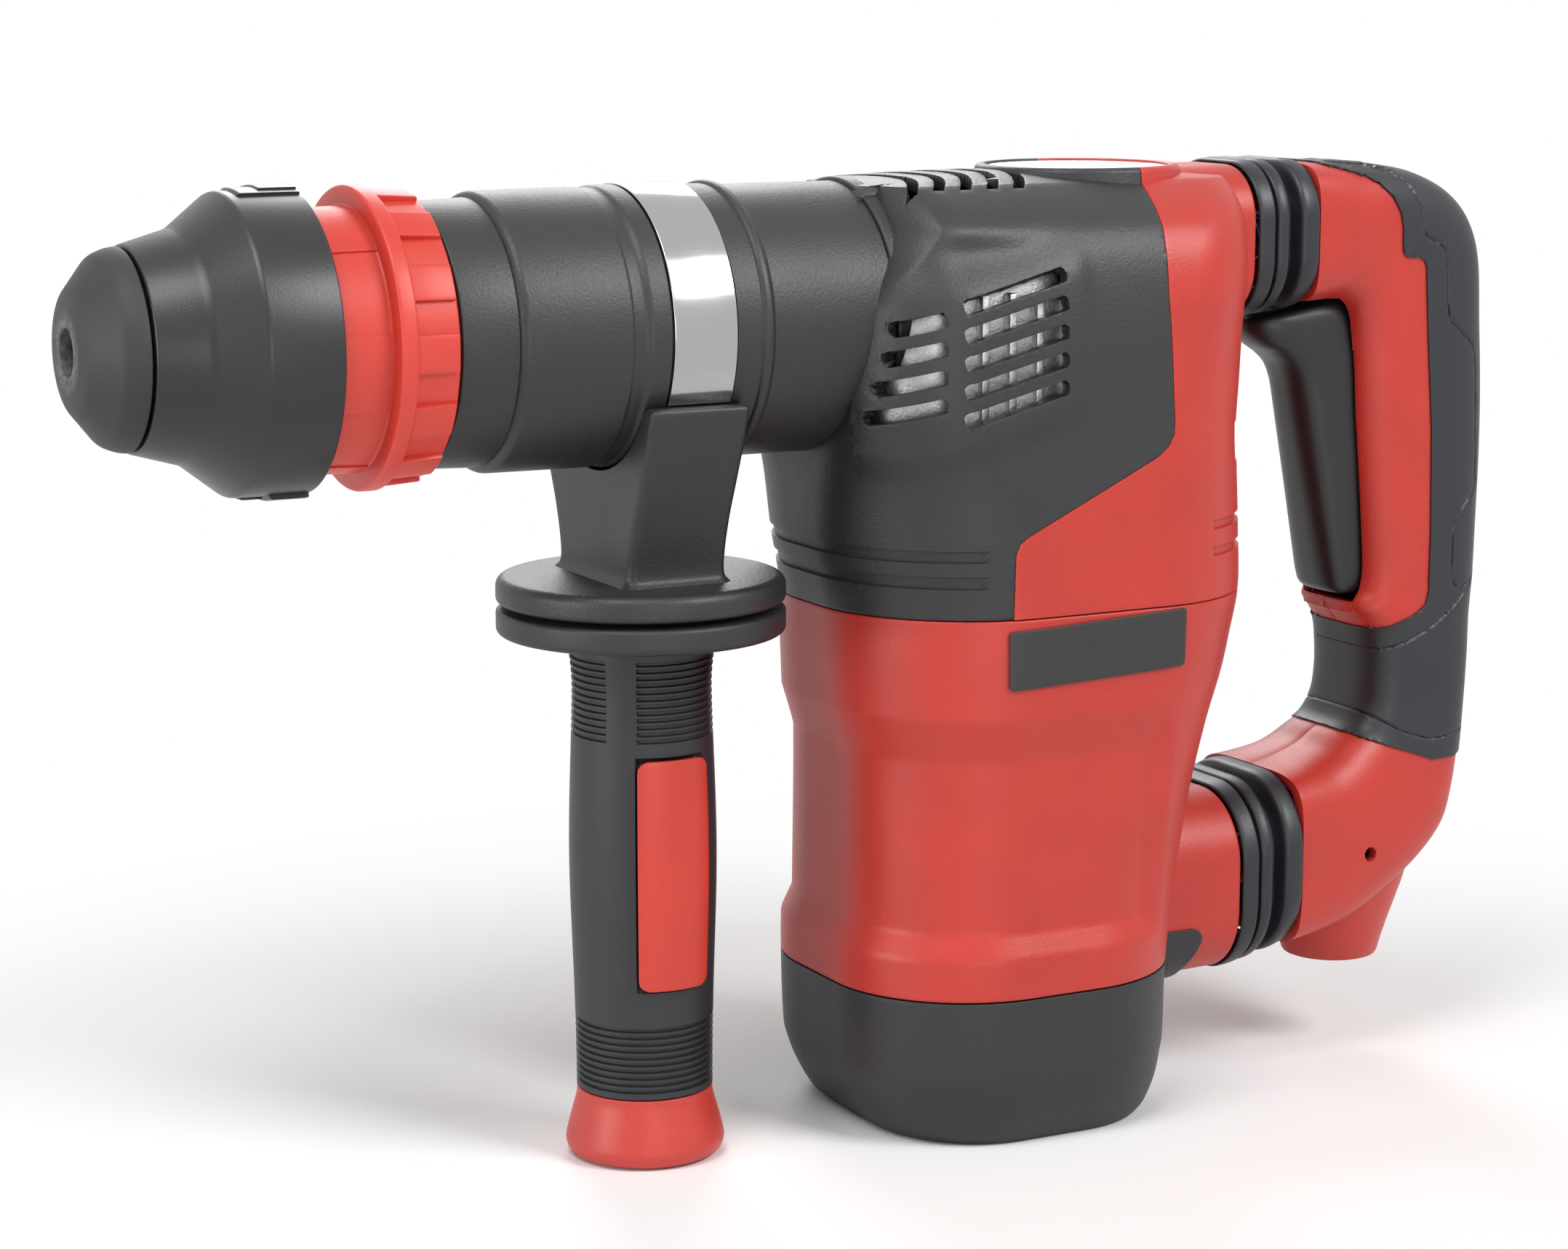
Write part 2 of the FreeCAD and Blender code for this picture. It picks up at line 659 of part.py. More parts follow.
NARROWER = s.body_half - 1.4

# height, front x, rear x, half width, corner radius
CAP_SECTIONS = [
    (0, -34.5, 34.0, 35.0, 26.0),
    (6, -40.5, 40.0, 41.0, 31.0),
    (14, -42.6, 41.8, 43.2, 33.0),
    (s.cap_seam, -43.5, 43.0, s.body_half, 34.0),
]
MOTOR_SECTIONS = [
    (s.cap_seam, -43.5, 43.0, s.body_half, 34.0),
    (56, -41.5, 45.5, NARROWER + 0.4, 35.0),
    (78, -40.6, 49.5, NARROWER, 35.0),
    (95, -40.8, 54.2, NARROWER, 35.0),
    (107, -43.5, 58.5, s.body_half - 0.5, 36.0),
    (116, -44.8, 61.2, s.body_half, 37.0),
    (s.body_seam, -45.2, 63.8, s.body_half + 0.3, 38.0),
]
UPPER_SECTIONS = [
    (s.body_seam, -45.2, 63.8, s.body_half + 0.3, 38.0),
    (142, -47.5, 63.0, s.body_half + 0.3, 36.0),
    (160, -50.5, 61.5, s.body_half, 32.0),
    (180, -52.0, 61.0, s.body_half, 30.0),
    (196, -52.5, 61.0, s.body_half - 1, 28.0),
    (210, -51.5, 60.5, s.body_half - 5, 24.0),
    (220, -50.0, 60.0, s.body_half - 10, 20.0),
    (s.body_top, -44.0, 59.0, s.body_half - 16, 14.0),
]


def shell_form(label, sections, inset=0, low=None, high=None):
    """A housing form from its sections, drawn in by inset, with its ends moved if asked."""
    heights = [section[0] for section in sections]
    heights[0] = heights[0] if low is None else low
    heights[-1] = heights[-1] if high is None else high
    drawn = []
    for height, (_, front, rear, half, corner) in zip(heights, sections):
        drawn.append((height, front + inset, rear - inset, -half + inset, half - inset, corner - inset))
    return lofted(label, "XY_Plane", drawn)


def make_base_cap():
    outer = shell_form("cap_outer", CAP_SECTIONS)
    inner = shell_form("cap_inner", CAP_SECTIONS, s.wall, low=s.wall + 1)
    node(cut("base_cap", outer, inner, *make_base_screws()))
    return outer


def make_motor_housing():
    outer = shell_form("motor_outer", MOTOR_SECTIONS)
    inner = shell_form("motor_inner", MOTOR_SECTIONS, s.wall)
    node(cut("motor_housing", outer, inner))
    layer = cut("label_layer", shell_form("label_outer", MOTOR_SECTIONS, -0.7), outer)
    window = block("label_window", (-15, 32), (-60, 0), (110, 123.6))
    node(shared("label_plate", layer, window))
    return outer


def slots(label, x, z, reach, pitch, count, thick, tilt, hand):
    """A column of slanted ventilation slots through one side wall."""
    made = []
    for index in range(count):
        slot = doc.addObject("Part::Box", f"{label}_{index}")
        slot.Length = reach
        slot.Width = 12.0
        slot.Height = thick
        low_y = -46.0 if hand < 0 else 34.0
        place = Vector(x, low_y, z - pitch * index)
        slot.Placement = Placement(place, Rotation(Vector(0, 1, 0), -tilt))
        made.append(slot)
    return made


def make_upper_housing():
    outer = shell_form("upper_outer", UPPER_SECTIONS)
    inner = shell_form("upper_inner", UPPER_SECTIONS, s.wall, high=s.body_top - s.wall)
    barrel_hole = rod("upper_barrel_hole", "X", s.barrel_radius, -60.0, s.barrel_rear_x, z=s.axis_height)
    lid_hole = rod("upper_lid_hole", "Z", s.lid_radius + 3.3, s.case_top, s.body_top + 2, x=s.lid_x)
    shell = cut("upper_shell", outer, inner, barrel_hole, lid_hole)
    rear = padded("rear_region", "XZ_Plane", [
        (22.5, 235), (27.5, 217), (29.3, 199), (31.3, 168.5), (28.7, 161), (-8.3, 144.1),
        (-11.3, 140.2), (-11.6, 120), (80, 120), (80, 235),
    ], 120.0)
    vents = []
    for hand in (-1, 1):
        vents += slots(f"vent_rear_{hand + 1}", -28.5, 197.0, 27.5, 6.4, 5, 3.4, 14.5, hand)
        vents += slots(f"vent_front_{hand + 1}", -45.5, 192.6, 12.5, 6.8, 4, 3.4, 14.5, hand)
    node(cut("upper_housing", shell, rear, *vents))
    covered = shared("rear_shell", shell, rear)
    stub = lofted("stub_outer", "YZ_Plane", [
        (50, -19, 19, 190.2, 226.4, 13), (s.stub_rear_x, -19.4, 19.4, 189.8, 226.6, 13),
    ])
    stub = cut("stub_trimmed", stub, outer)
    bore = lofted("stub_bore", "YZ_Plane", [
        (62, -15, 15, 194.2, 222.4, 10), (s.stub_rear_x + 1, -15.4, 15.4, 193.8, 222.6, 10),
    ])
    node(cut("rear_cover", joined("rear_blank", covered, stub), bore))


def make_crank_lid():
    low = s.case_top + 0.2
    node(turned("lid_ring", "Z", [
        (low, s.lid_radius - 3), (low, s.lid_radius + 3.2), (s.body_top + 1.2, s.lid_radius + 3.2),
        (s.body_top + 1.2, s.lid_radius), (s.body_top - 1.5, s.lid_radius), (s.body_top - 1.5, s.lid_radius - 3),
    ], x=s.lid_x))
    lid = turned("lid_blank", "Z", [
        (s.body_top - 1.5, 0), (s.body_top - 1.5, s.lid_radius), (s.body_top + 0.7, s.lid_radius),
        (s.body_top + 0.7, 0),
    ], x=s.lid_x)
    holes = [rod(f"lid_hole_{hand + 1}", "Z", 1.6, s.body_top - 0.5, s.body_top + 2, x=s.lid_x + hand * 12)
             for hand in (-1, 1)]
    node(cut("crank_lid", lid, *holes))


def make_barrel():
    low = s.barrel_radius
    front = s.strap_x - s.strap_width / 2
    rear = s.strap_x + s.strap_width / 2
    node(turned("barrel", "X", [
        (s.barrel_front_x, s.barrel_bore), (s.barrel_rear_x, s.barrel_bore), (s.barrel_rear_x, low),
        (rear + 9.5, low), (rear + 9.0, low + 1.1), (rear + 7.6, low + 1.1), (rear + 7.0, low + 0.6),
        (rear + 0.3, low + 0.6), (rear + 0.3, low), (front - 0.3, low), (front - 0.3, low + 0.6),
        (front - 5, low + 0.6), (front - 6, low), (s.barrel_front_x + 1.2, low),
        (s.barrel_front_x, low - 1.2),
    ], z=s.axis_height))
    node(turned("front_neck", "X", [
        (-178.0, s.neck_tube_radius - 4.5), (-141.0, s.neck_tube_radius - 4.5), (-141.0, s.barrel_bore),
        (s.barrel_front_x, s.barrel_bore), (s.barrel_front_x, s.neck_radius),
        (s.ring_rear_x + 0.6, s.neck_radius), (s.ring_rear_x + 0.6, s.neck_tube_radius),
        (-178.0, s.neck_tube_radius),
    ], z=s.axis_height))


def make_adjusting_ring():
    bore = s.neck_tube_radius + s.running_gap
    blank = turned("ring_blank", "X", [
        (-176.0, bore), (s.ring_rear_x, bore), (s.ring_rear_x, s.ring_grip_radius - 1),
        (s.ring_rear_x - 1, s.ring_grip_radius), (s.ring_grip_x, s.ring_grip_radius),
        (s.ring_grip_x, s.ring_radius), (s.ring_flange_x, s.ring_radius),
        (s.ring_flange_x, s.ring_neck_radius), (-176.0, s.ring_neck_radius),
    ], z=s.axis_height)
    count = 8
    notches = []
    for index in range(count):
        notch = doc.addObject("Part::Box", f"ring_notch_{index}")
        notch.Length = 12.0
        notch.Width = 9.0
        notch.Height = 6.0
        roll = Rotation(Vector(1, 0, 0), 360 * (index + 0.5) / count)
        start = roll.multVec(Vector(0, -4.5, number(s.ring_grip_radius) - 2.0))
        place = start + Vector(number(s.ring_grip_x), 0, number(s.axis_height))
        notch.Placement = Placement(place, roll)
        notches.append(notch)
    return node(cut("adjusting_ring", blank, *notches))


def make_lower_arm(cap, motor):
    outer = lofted("arm_outer", "YZ_Plane", [
        (24, -23.0, 23.0, 25.5, 72.0, 16), (s.arm_front_x, -24.0, 24.0, 26.8, 72.4, 17),
    ])
    bore = lofted("arm_bore", "YZ_Plane", [
        (20, -20.0, 20.0, 28.5, 69.0, 13), (s.arm_front_x + 1, -21.0, 21.0, 29.8, 69.4, 14),
    ])
    return node(cut("lower_arm", outer, bore, cap, motor))


def make_bellows():
    gap = 0.3
    length = s.arm_rear_x - s.stub_rear_x
    upper = []
    lower = []
    for step, swell in enumerate((-0.6, 1.2, -0.8, 1.2, -0.6)):
        at = s.stub_rear_x + gap + (length - 2 * gap) * step / 4
        upper.append((at, -19.0 - swell, 19.0 + swell, 190.6 - swell, 226.2 + swell, 13))
        at = s.arm_front_x + gap + (s.bulb_front_x - s.arm_front_x - 2 * gap) * step / 4
        lower.append((at, -23.2 - swell, 23.2 + swell, 29.0 - swell, 73.0 + swell, 16))
    for label, sections in (("upper_bellows", upper), ("lower_bellows", lower)):
        outer = lofted(f"{label}_outer", "YZ_Plane", sections)
        inner = [(at, a + 2.5, b - 2.5, c + 2.5, d - 2.5, r - 2.5) for at, a, b, c, d, r in sections]
        node(cut(label, outer, lofted(f"{label}_inner", "YZ_Plane", inner)))


def make_dampers():
    """Guide pins on the housing and the springs that push the handle back."""
    guides = []
    springs = []
    for label, z, front, spring_end in (("upper", 208.4, 62.0, 96.3), ("lower", 51.0, 46.2, 96.7)):
        pin = rod(f"damper_pin_{label}", "X", 3.0, front, s.arm_rear_x + 7.5, z=z)
        flange = rod(f"damper_flange_{label}", "X", 8.0, front, front + 2.5, z=z)
        guides.append(joined(f"damper_{label}", pin, flange))
        springs.append(coil(f"damper_spring_{label}", "X", 5.2, 0.9, 4.0, front + 2.7, spring_end, z=z))
    node(group("damper_guides", *guides))
    node(group("damper_springs", *springs))


def make_base_screws():
    """Four screws up through the foot, and the counterbored holes they sit in."""
    screws = []
    holes = []
    for x in (-20.0, 20.0):
        for y in (-22.0, 22.0):
            name = f"{int(x)}_{int(y)}"
            shank = rod(f"screw_shank_{name}", "Z", 2.0, 2.2, 9.9, x=x, y=y)
            head = rod(f"screw_head_{name}", "Z", 3.6, 0.4, 2.2, x=x, y=y)
            screws.append(joined(f"screw_{name}", shank, head))
            holes.append(rod(f"screw_hole_{name}", "Z", 2.1, -1.0, 6.0, x=x, y=y))
            holes.append(rod(f"screw_sink_{name}", "Z", 4.0, -1.0, 2.2, x=x, y=y))
    node(group("base_screws", *screws))
    return holes


# Side handle -------------------------------------------------------------------------------------


def make_side_handle():
    seat = s.barrel_radius + s.running_gap
    front = s.strap_x - s.strap_width / 2
    rear = s.strap_x + s.strap_width / 2
    node(tube("handle_strap", "X", front, rear, seat, seat + s.strap_thick, z=s.axis_height))
    wedge = padded("saddle_wedge", "YZ_Plane", [
        (-19, s.disc_top), (19, s.disc_top), (20.3, 150), (24.4, 160), (28.6, 170), (31.4, 176.5),
        (30.9, 178.5), (-30.9, 178.5), (-31.4, 176.5), (-28.6, 170), (-24.4, 160), (-20.3, 150),
    ], s.saddle_width, shift=(s.side_x, 0, 0))
    disc = turned("saddle_disc", "Z", [
        (s.disc_split + 0.6, 0), (s.disc_split + 0.6, s.disc_radius - 1.5),
        (s.disc_split + 1.6, s.disc_radius), (s.disc_top - 1.6, s.disc_radius),
        (s.disc_top, s.disc_radius - 2), (s.disc_top, 0),
    ], x=s.side_x)
    round_seat = rod("saddle_seat", "X", seat + s.strap_thick, front - 6, rear + 6, z=s.axis_height)
    ridge = rod("saddle_relief", "X", s.barrel_radius + 1.6, front - 12, rear + 12, z=s.axis_height)
    bolt_hole = rod("saddle_bolt_hole", "Z", 4.1, s.disc_split - 2, 160, x=s.side_x)
    head_hole = rod("saddle_head_hole", "Z", 6.6, 151, 162.2, x=s.side_x)
    node(cut("handle_saddle", joined("saddle_blank", wedge, disc), round_seat, ridge, bolt_hole, head_hole))
    shank = rod("bolt_shank", "Z", 4.0, 96, 151, x=s.side_x)
    head = doc.addObject("Part::Prism", "bolt_head")
    head.Polygon = 6
    head.Circumradius = 6.2
    head.Height = 6.0
    move(head, s.side_x, 0, 151)
    node(joined("clamp_bolt", shank, head))


def make_side_grip():
    blank = turned("grip_blank", "Z", [
        (s.grip_end, 4.2), (s.disc_split - 0.6, 4.2), (s.disc_split - 0.6, s.disc_radius - 1),
        (s.disc_split - 1.2, s.disc_radius), (s.disc_bottom + 1, s.disc_radius),
        (s.disc_bottom, s.disc_radius - 1.5), (s.disc_bottom, s.grip_radius - 1),
        (100, s.grip_radius - 0.5), (85, s.grip_radius + 0.2), (60, s.grip_radius + 0.4),
        (36, s.grip_radius - 0.2), (s.grip_end, s.grip_radius - 0.8),
    ], x=s.side_x)
    window = block("inlay_window", (s.side_x - 8.4, s.side_x + 8.4), (-20, -12.6), (42, 97))
    node(cut("side_grip", blank, window))
    node(shared("grip_inlay", blank, window))
    node(turned("grip_end_cap", "Z", [
        (0, 0), (0, s.flare_radius - 1.6), (1.6, s.flare_radius), (4, s.flare_radius),
        (s.grip_end - 0.2, s.grip_radius - 0.2), (s.grip_end - 0.2, 0),
    ], x=s.side_x))


# Rear handle ---------------------------------------------------------------------------------------

GRIP_BACK = [
    (121, 222.6), (130.5, 218.2), (136.4, 212.2), (138.8, 206.2), (140.8, 195.2), (142.4, 178),
    (143.3, 156.7), (143, 140), (141.8, 112), (140.4, 82), (139, 70),
]
COVER_START = (99.0, 225.8)
HANDLE_SCREWS = [("top", 112.0, 208.0, 1), ("middle", 103.0, 53.5, -1), ("low", 91.0, 36.5, 1)]


def inward(point, reach):
    """A point of the handle's back moved towards the middle of the hand hole."""
    away = Vector(point[0] - 92, (point[1] - 150) * 0.55, 0).normalize()
    return (point[0] - away.x * number(reach), point[1] - away.y * number(reach))


def make_handle_shells():
    back = [inward(point, s.cover_thick) for point in GRIP_BACK]
    outline = [(s.arm_rear_x, 226.6), (98.6, 225.8), (102, 221.6)] + back + [
        (137.7, 64), (134, 57.4), (128.7, 52.2), (122.5, 40), (119.5, s.outlet_z + 8),
        (93, s.outlet_z + 8), (s.bulb_front_x, 31.5), (s.bulb_front_x, 74.8), (99, 78.3),
        (103.6, 84), (103.4, 100), (101.6, 108), (100.5, 112.6), (105.6, 115.5), (105.8, 127.2),
        (103.2, 160), (100.4, 185), (98.6, 190.5), (94.5, 193.3), (s.arm_rear_x, 193.3),
    ]
    grip = padded("handle_grip", "XZ_Plane", outline, 2 * s.handle_half)
    arm = lofted("handle_arm", "YZ_Plane", [
        (s.arm_rear_x, -19.5, 19.5, 193.3, 226.6, 12), (98, -17, 17, 193.3, 225.8, 12),
    ])
    bulb = lofted("handle_bulb", "YZ_Plane", [
        (s.bulb_front_x, -23.5, 23.5, 32.0, 74.8, 15), (98, -22.0, 22.0, 33.5, 77.0, 15),
        (118, -17, 17, 41, 78, 14),
    ])
    solid = joined("handle_solid", grip, arm, bulb)
    slot_half = s.trigger_half + s.slot_gap
    slot = block("handle_slot", (90, 118), (-slot_half, slot_half), (113.6, 201.5))
    cavity = block("handle_cavity", (107, 132), (-13.5, 13.5), (118, 198))
    arm_bore = block("handle_arm_bore", (s.arm_rear_x - 1, s.arm_rear_x + 12), (-9, 9), (199.4, 217.4))
    low_bore = block("handle_low_bore", (s.bulb_front_x - 1, s.bulb_front_x + 16), (-9, 9), (42, 60))
    wire_way = block("handle_wire_way", (105, 128), (-6, 6), (70, 119))
    cable_way = rod("handle_cable_way", "Z", s.outlet_bore + 2, s.outlet_z + 6, 47, x=s.outlet_x)
    cable_bend = block("handle_cable_bend", (s.outlet_x, s.outlet_x + 11), (-6, 6), (40, 72))
    pin_hole = rod("handle_pin_hole", "Y", 2.0, -13.5, 13.5, x=s.pivot_x, z=s.pivot_z)
    holes = make_handle_screws()
    rooms = (slot, cavity, arm_bore, low_bore, wire_way, cable_way, cable_bend, pin_hole)
    hollow = cut("handle_hollow", solid, *rooms, *holes)
    for name, limits in (("left", (-30, 0)), ("right", (0, 30))):
        half = block(f"handle_half_{name}", (70, 160), limits, (10, 240))
        node(shared(f"handle_shell_{name}", hollow, half))


def make_handle_screws():
    screws = []
    holes = []
    for name, x, z, hand in HANDLE_SCREWS:
        head_low, head_high = sorted((hand * 12.0, hand * 14.5))
        hole_low, hole_high = sorted((hand * 13.0, hand * -12.1))
        sink_low, sink_high = sorted((hand * 12.0, hand * 26.0))
        shank = rod(f"handle_screw_shank_{name}", "Y", 1.8, -12.0, 12.0, x=x, z=z)
        head = rod(f"handle_screw_head_{name}", "Y", 3.4, head_low, head_high, x=x, z=z)
        screws.append(joined(f"handle_screw_{name}", shank, head))
        holes.append(rod(f"handle_screw_hole_{name}", "Y", 1.85, hole_low, hole_high, x=x, z=z))
        holes.append(rod(f"handle_screw_sink_{name}", "Y", 3.5, sink_low, sink_high, x=x, z=z))
    node(group("handle_screws", *screws))
    return holes


def make_grip_cover():
    inner = [inward(point, s.cover_thick) for point in GRIP_BACK]
    outline = [COVER_START] + GRIP_BACK + inner[::-1] + [(102, 221.6)]
    return node(padded("grip_cover", "XZ_Plane", outline, 2 * s.handle_half))


def make_trigger():
    solid = padded("trigger_blank", "XZ_Plane", [
        (76, 183.4), (79.4, 180.6), (83.5, 178.3), (86, 173), (88, 162.5),
        (91.5, 143.7), (95.2, 125.5), (96.5, 119.5), (99.5, 116.4), (104, 115.6), (108.5, 118),
        (108.5, 140), (106, 170), (102.5, 190), (101.5, 200.6), (92.4, 200.6), (91.5, 191.6),
        (87, 191.2), (84.5, 188.2), (77, 187.9), (74.6, 186.2),
    ], 2 * s.trigger_half)
    hole = rod("trigger_hole", "Y", 2.0 + s.running_gap, -12.0, 12.0, x=s.pivot_x, z=s.pivot_z)
    node(cut("trigger", solid, hole))
    node(rod("trigger_pin", "Y", 2.0, -13.5, 13.5, x=s.pivot_x, z=s.pivot_z))
    node(block("switch", (117.5, 131), (-10, 10), (142, 184)))
    node(coil("trigger_spring", "X", 2.6, 0.5, 2.6, 109.0, 131.8, z=128.0))


def make_cable_spout():
    return node(turned("cable_spout", "Z", [
        (s.outlet_z, s.outlet_bore), (s.outlet_z + 8, s.outlet_bore), (s.outlet_z + 8, 13.6),
        (s.outlet_z, 12.5),
    ], x=s.outlet_x))


def check_document():
    """Stop on any failed feature or unsound sub-part."""
    doc.recompute()
    for item in doc.Objects:
        if "Invalid" in item.State or "Error" in item.State:
            raise RuntimeError(f"{item.Label} failed: {item.State}")
    for item in nodes:
        if item.Shape.isNull() or not item.Shape.isValid() or item.Shape.Volume <= 0:
            raise RuntimeError(f"{item.Label} has no sound shape")


def write_parts():
    os.makedirs("parts", exist_ok=True)
    for item in nodes:
        item.Shape.exportStep(f"parts/{item.Label}.step")


make_spindle()
make_locking_balls()
make_dust_cap()
make_locking_sleeve()
make_sleeve_spring_parts()
make_bevel_ring_gear()
make_striking_train()
make_spur_gears()
make_intermediate_shaft()
make_crank()
make_gear_case()
make_bearings()
make_motor()
cap_form = make_base_cap()
motor_form = make_motor_housing()
make_upper_housing()
make_crank_lid()
make_barrel()
make_adjusting_ring()
make_lower_arm(cap_form, motor_form)
make_bellows()
make_dampers()
make_side_handle()
make_side_grip()
make_handle_shells()
make_grip_cover()
make_trigger()
make_cable_spout()
check_document()
write_parts()
for item in nodes:
    box = item.Shape.BoundBox
    print(f"{item.Label:20s} {len(item.Shape.Solids)} {item.Shape.Volume:11.1f}  "
          f"x {box.XMin:7.1f} {box.XMax:7.1f}  y {box.YMin:6.1f} {box.YMax:6.1f}  "
          f"z {box.ZMin:6.1f} {box.ZMax:6.1f}")
print(len(nodes), "sub-parts")
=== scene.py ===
import json
import math

import bmesh
import bpy
from mathutils import Matrix, Vector


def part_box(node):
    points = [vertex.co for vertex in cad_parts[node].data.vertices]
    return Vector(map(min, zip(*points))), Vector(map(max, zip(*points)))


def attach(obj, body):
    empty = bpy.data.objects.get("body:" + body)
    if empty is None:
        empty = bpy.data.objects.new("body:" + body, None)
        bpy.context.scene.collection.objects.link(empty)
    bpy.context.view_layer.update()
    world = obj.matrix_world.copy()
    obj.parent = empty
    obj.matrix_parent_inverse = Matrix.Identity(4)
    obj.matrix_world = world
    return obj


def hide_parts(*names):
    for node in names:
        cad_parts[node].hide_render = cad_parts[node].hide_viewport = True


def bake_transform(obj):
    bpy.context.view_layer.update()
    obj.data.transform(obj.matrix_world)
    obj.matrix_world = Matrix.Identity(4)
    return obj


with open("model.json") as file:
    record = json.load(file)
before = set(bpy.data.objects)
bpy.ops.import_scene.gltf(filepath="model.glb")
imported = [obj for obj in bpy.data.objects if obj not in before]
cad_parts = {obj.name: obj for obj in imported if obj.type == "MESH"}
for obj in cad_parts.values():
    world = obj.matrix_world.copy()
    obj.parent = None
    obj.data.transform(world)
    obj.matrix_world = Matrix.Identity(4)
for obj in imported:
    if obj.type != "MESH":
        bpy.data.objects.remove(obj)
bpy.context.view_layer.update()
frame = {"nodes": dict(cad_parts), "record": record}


# Camera --------------------------------------------------------------------------------------
# It stands ahead of the tool end and to the left, a little above the striking axis, and its
# long lens keeps the barrel and the rear handle close to their true proportions.

YAW = 0.483139
PITCH = 0.182023
camera = bpy.data.objects.new("camera", bpy.data.cameras.new("camera"))
bpy.context.collection.objects.link(camera)
camera.location = (-0.43872, -0.74462, 0.27411)
camera.rotation_euler = (math.pi / 2 - PITCH, 0, -YAW)
camera.data.sensor_width = 36
camera.data.lens = 83.49
camera.data.shift_x = -0.0095
camera.data.shift_y = 0.0059
bpy.context.scene.camera = camera
bpy.context.scene.view_settings.view_transform = "Standard"


# Lamps ---------------------------------------------------------------------------------------
# Five large soft boxes, as in a product studio: the key from the rear right, one over the barrel,
# one off the tool end, one low in front, and one behind that draws the upper edges.

def lamp(name, place, size, power):
    """A square soft box that faces the middle of the tool."""
    light = bpy.data.lights.new(name, "AREA")
    light.shape = "SQUARE"
    light.size = size
    light.energy = power
    box = bpy.data.objects.new(name, light)
    bpy.context.collection.objects.link(box)
    box.location = place
    box.rotation_euler = (Vector((0, 0, 0.12)) - Vector(place)).to_track_quat("-Z", "Y").to_euler()


lamp("soft_box_key", (0.55, -0.95, 1.05), 0.55, 13)
lamp("soft_box_over", (-0.55, -0.35, 1.10), 0.50, 6)
lamp("soft_box_left", (-1.20, -0.10, 0.30), 0.45, 5)
lamp("soft_box_low", (-0.30, -1.30, 0.18), 0.50, 2.5)
lamp("soft_box_back", (0.35, 1.05, 0.80), 0.60, 6)


# Shader arithmetic and the studio ------------------------------------------------------------
# The floor is plain pale board that holds the shadow near the tool, and further out it and the
# world turn to plain white for the camera and for what polished faces reflect.

class Field:
    """A number that varies over a surface. Arithmetic on it adds Math nodes."""

    def __init__(self, socket):
        self.socket = socket

    def math(self, operation, first, second):
        tree = self.socket.id_data
        return grow(tree, "ShaderNodeMath", {"operation": operation}, {0: first, 1: second})

    def __add__(self, other):
        return self.math("ADD", self, other)

    def __sub__(self, other):
        return self.math("SUBTRACT", self, other)

    def __rsub__(self, other):
        return self.math("SUBTRACT", other, self)

    def __mul__(self, other):
        return self.math("MULTIPLY", self, other)

    def __pow__(self, other):
        return self.math("POWER", self, other)

    __radd__ = __add__
    __rmul__ = __mul__


def grow(tree, kind, settings, inputs, output=0):
    """Adds one node: its settings first, then the values or links of its sockets."""
    node = tree.nodes.new(kind)
    for key, value in settings.items():
        setattr(node, key, value)
    for key, value in inputs.items():
        if isinstance(value, Field):
            tree.links.new(value.socket, node.inputs[key])
        else:
            node.inputs[key].default_value = value
    return Field(node.outputs[output])


class Paint:
    """A material: one Principled shader, and the nodes that vary it over the surface."""

    def __init__(self, name, constants):
        self.material = bpy.data.materials.new(name)
        self.material.use_nodes = True
        self.tree = self.material.node_tree
        self.shader = self.tree.nodes["Principled BSDF"]
        self.place = self.node("ShaderNodeTexCoord", {}, {}, "Object")
        for socket, value in constants.items():
            self.shader.inputs[socket].default_value = value

    def node(self, kind, settings, inputs, output=0):
        return grow(self.tree, kind, settings, inputs, output)

    def feed(self, socket, field):
        self.tree.links.new(field.socket, self.shader.inputs[socket])

    def noise(self, size, detail=2.0, stretch=(1, 1, 1)):
        """Noise whose features are about size metres across."""
        spread = self.node("ShaderNodeMapping", {}, {"Vector": self.place, "Scale": stretch})
        inputs = {"Vector": spread, "Scale": 1 / size, "Detail": detail}
        return self.node("ShaderNodeTexNoise", {}, inputs, "Fac")

    def between(self, factor, first, second):
        """A colour that runs from first to second."""
        settings = {"data_type": "RGBA"}
        inputs = {0: factor, 6: (*first, 1), 7: (*second, 1)}
        return self.node("ShaderNodeMix", settings, inputs, 2)

    def band(self, field, low, high):
        """field brought from low..high to 0..1."""
        inputs = {0: field, 1: low, 2: high, 3: 0.0, 4: 1.0}
        return self.node("ShaderNodeMapRange", {"clamp": True}, inputs)

    def bump(self, field, depth):
        """Bump of that depth in metres."""
        inputs = {"Strength": 1.0, "Distance": depth, "Height": field}
        self.feed("Normal", self.node("ShaderNodeBump", {}, inputs))


world = bpy.data.worlds.new("studio")
bpy.context.scene.world = world
world.use_nodes = True
sky = world.node_tree
SHOWN = ("Is Camera Ray", "Is Glossy Ray", "Is Transmission Ray")
camera_ray, glossy_ray, clear_ray = (grow(sky, "ShaderNodeLightPath", {}, {}, name) for name in SHOWN)
white = camera_ray.math("MAXIMUM", camera_ray, glossy_ray)
white = white.math("MAXIMUM", white, clear_ray)
SKY_LIGHT = 0.17
background = sky.nodes["Background"]
background.inputs["Color"].default_value = (1, 1, 1, 1)
sky.links.new((white * (1 - SKY_LIGHT) + SKY_LIGHT).socket, background.inputs["Strength"])

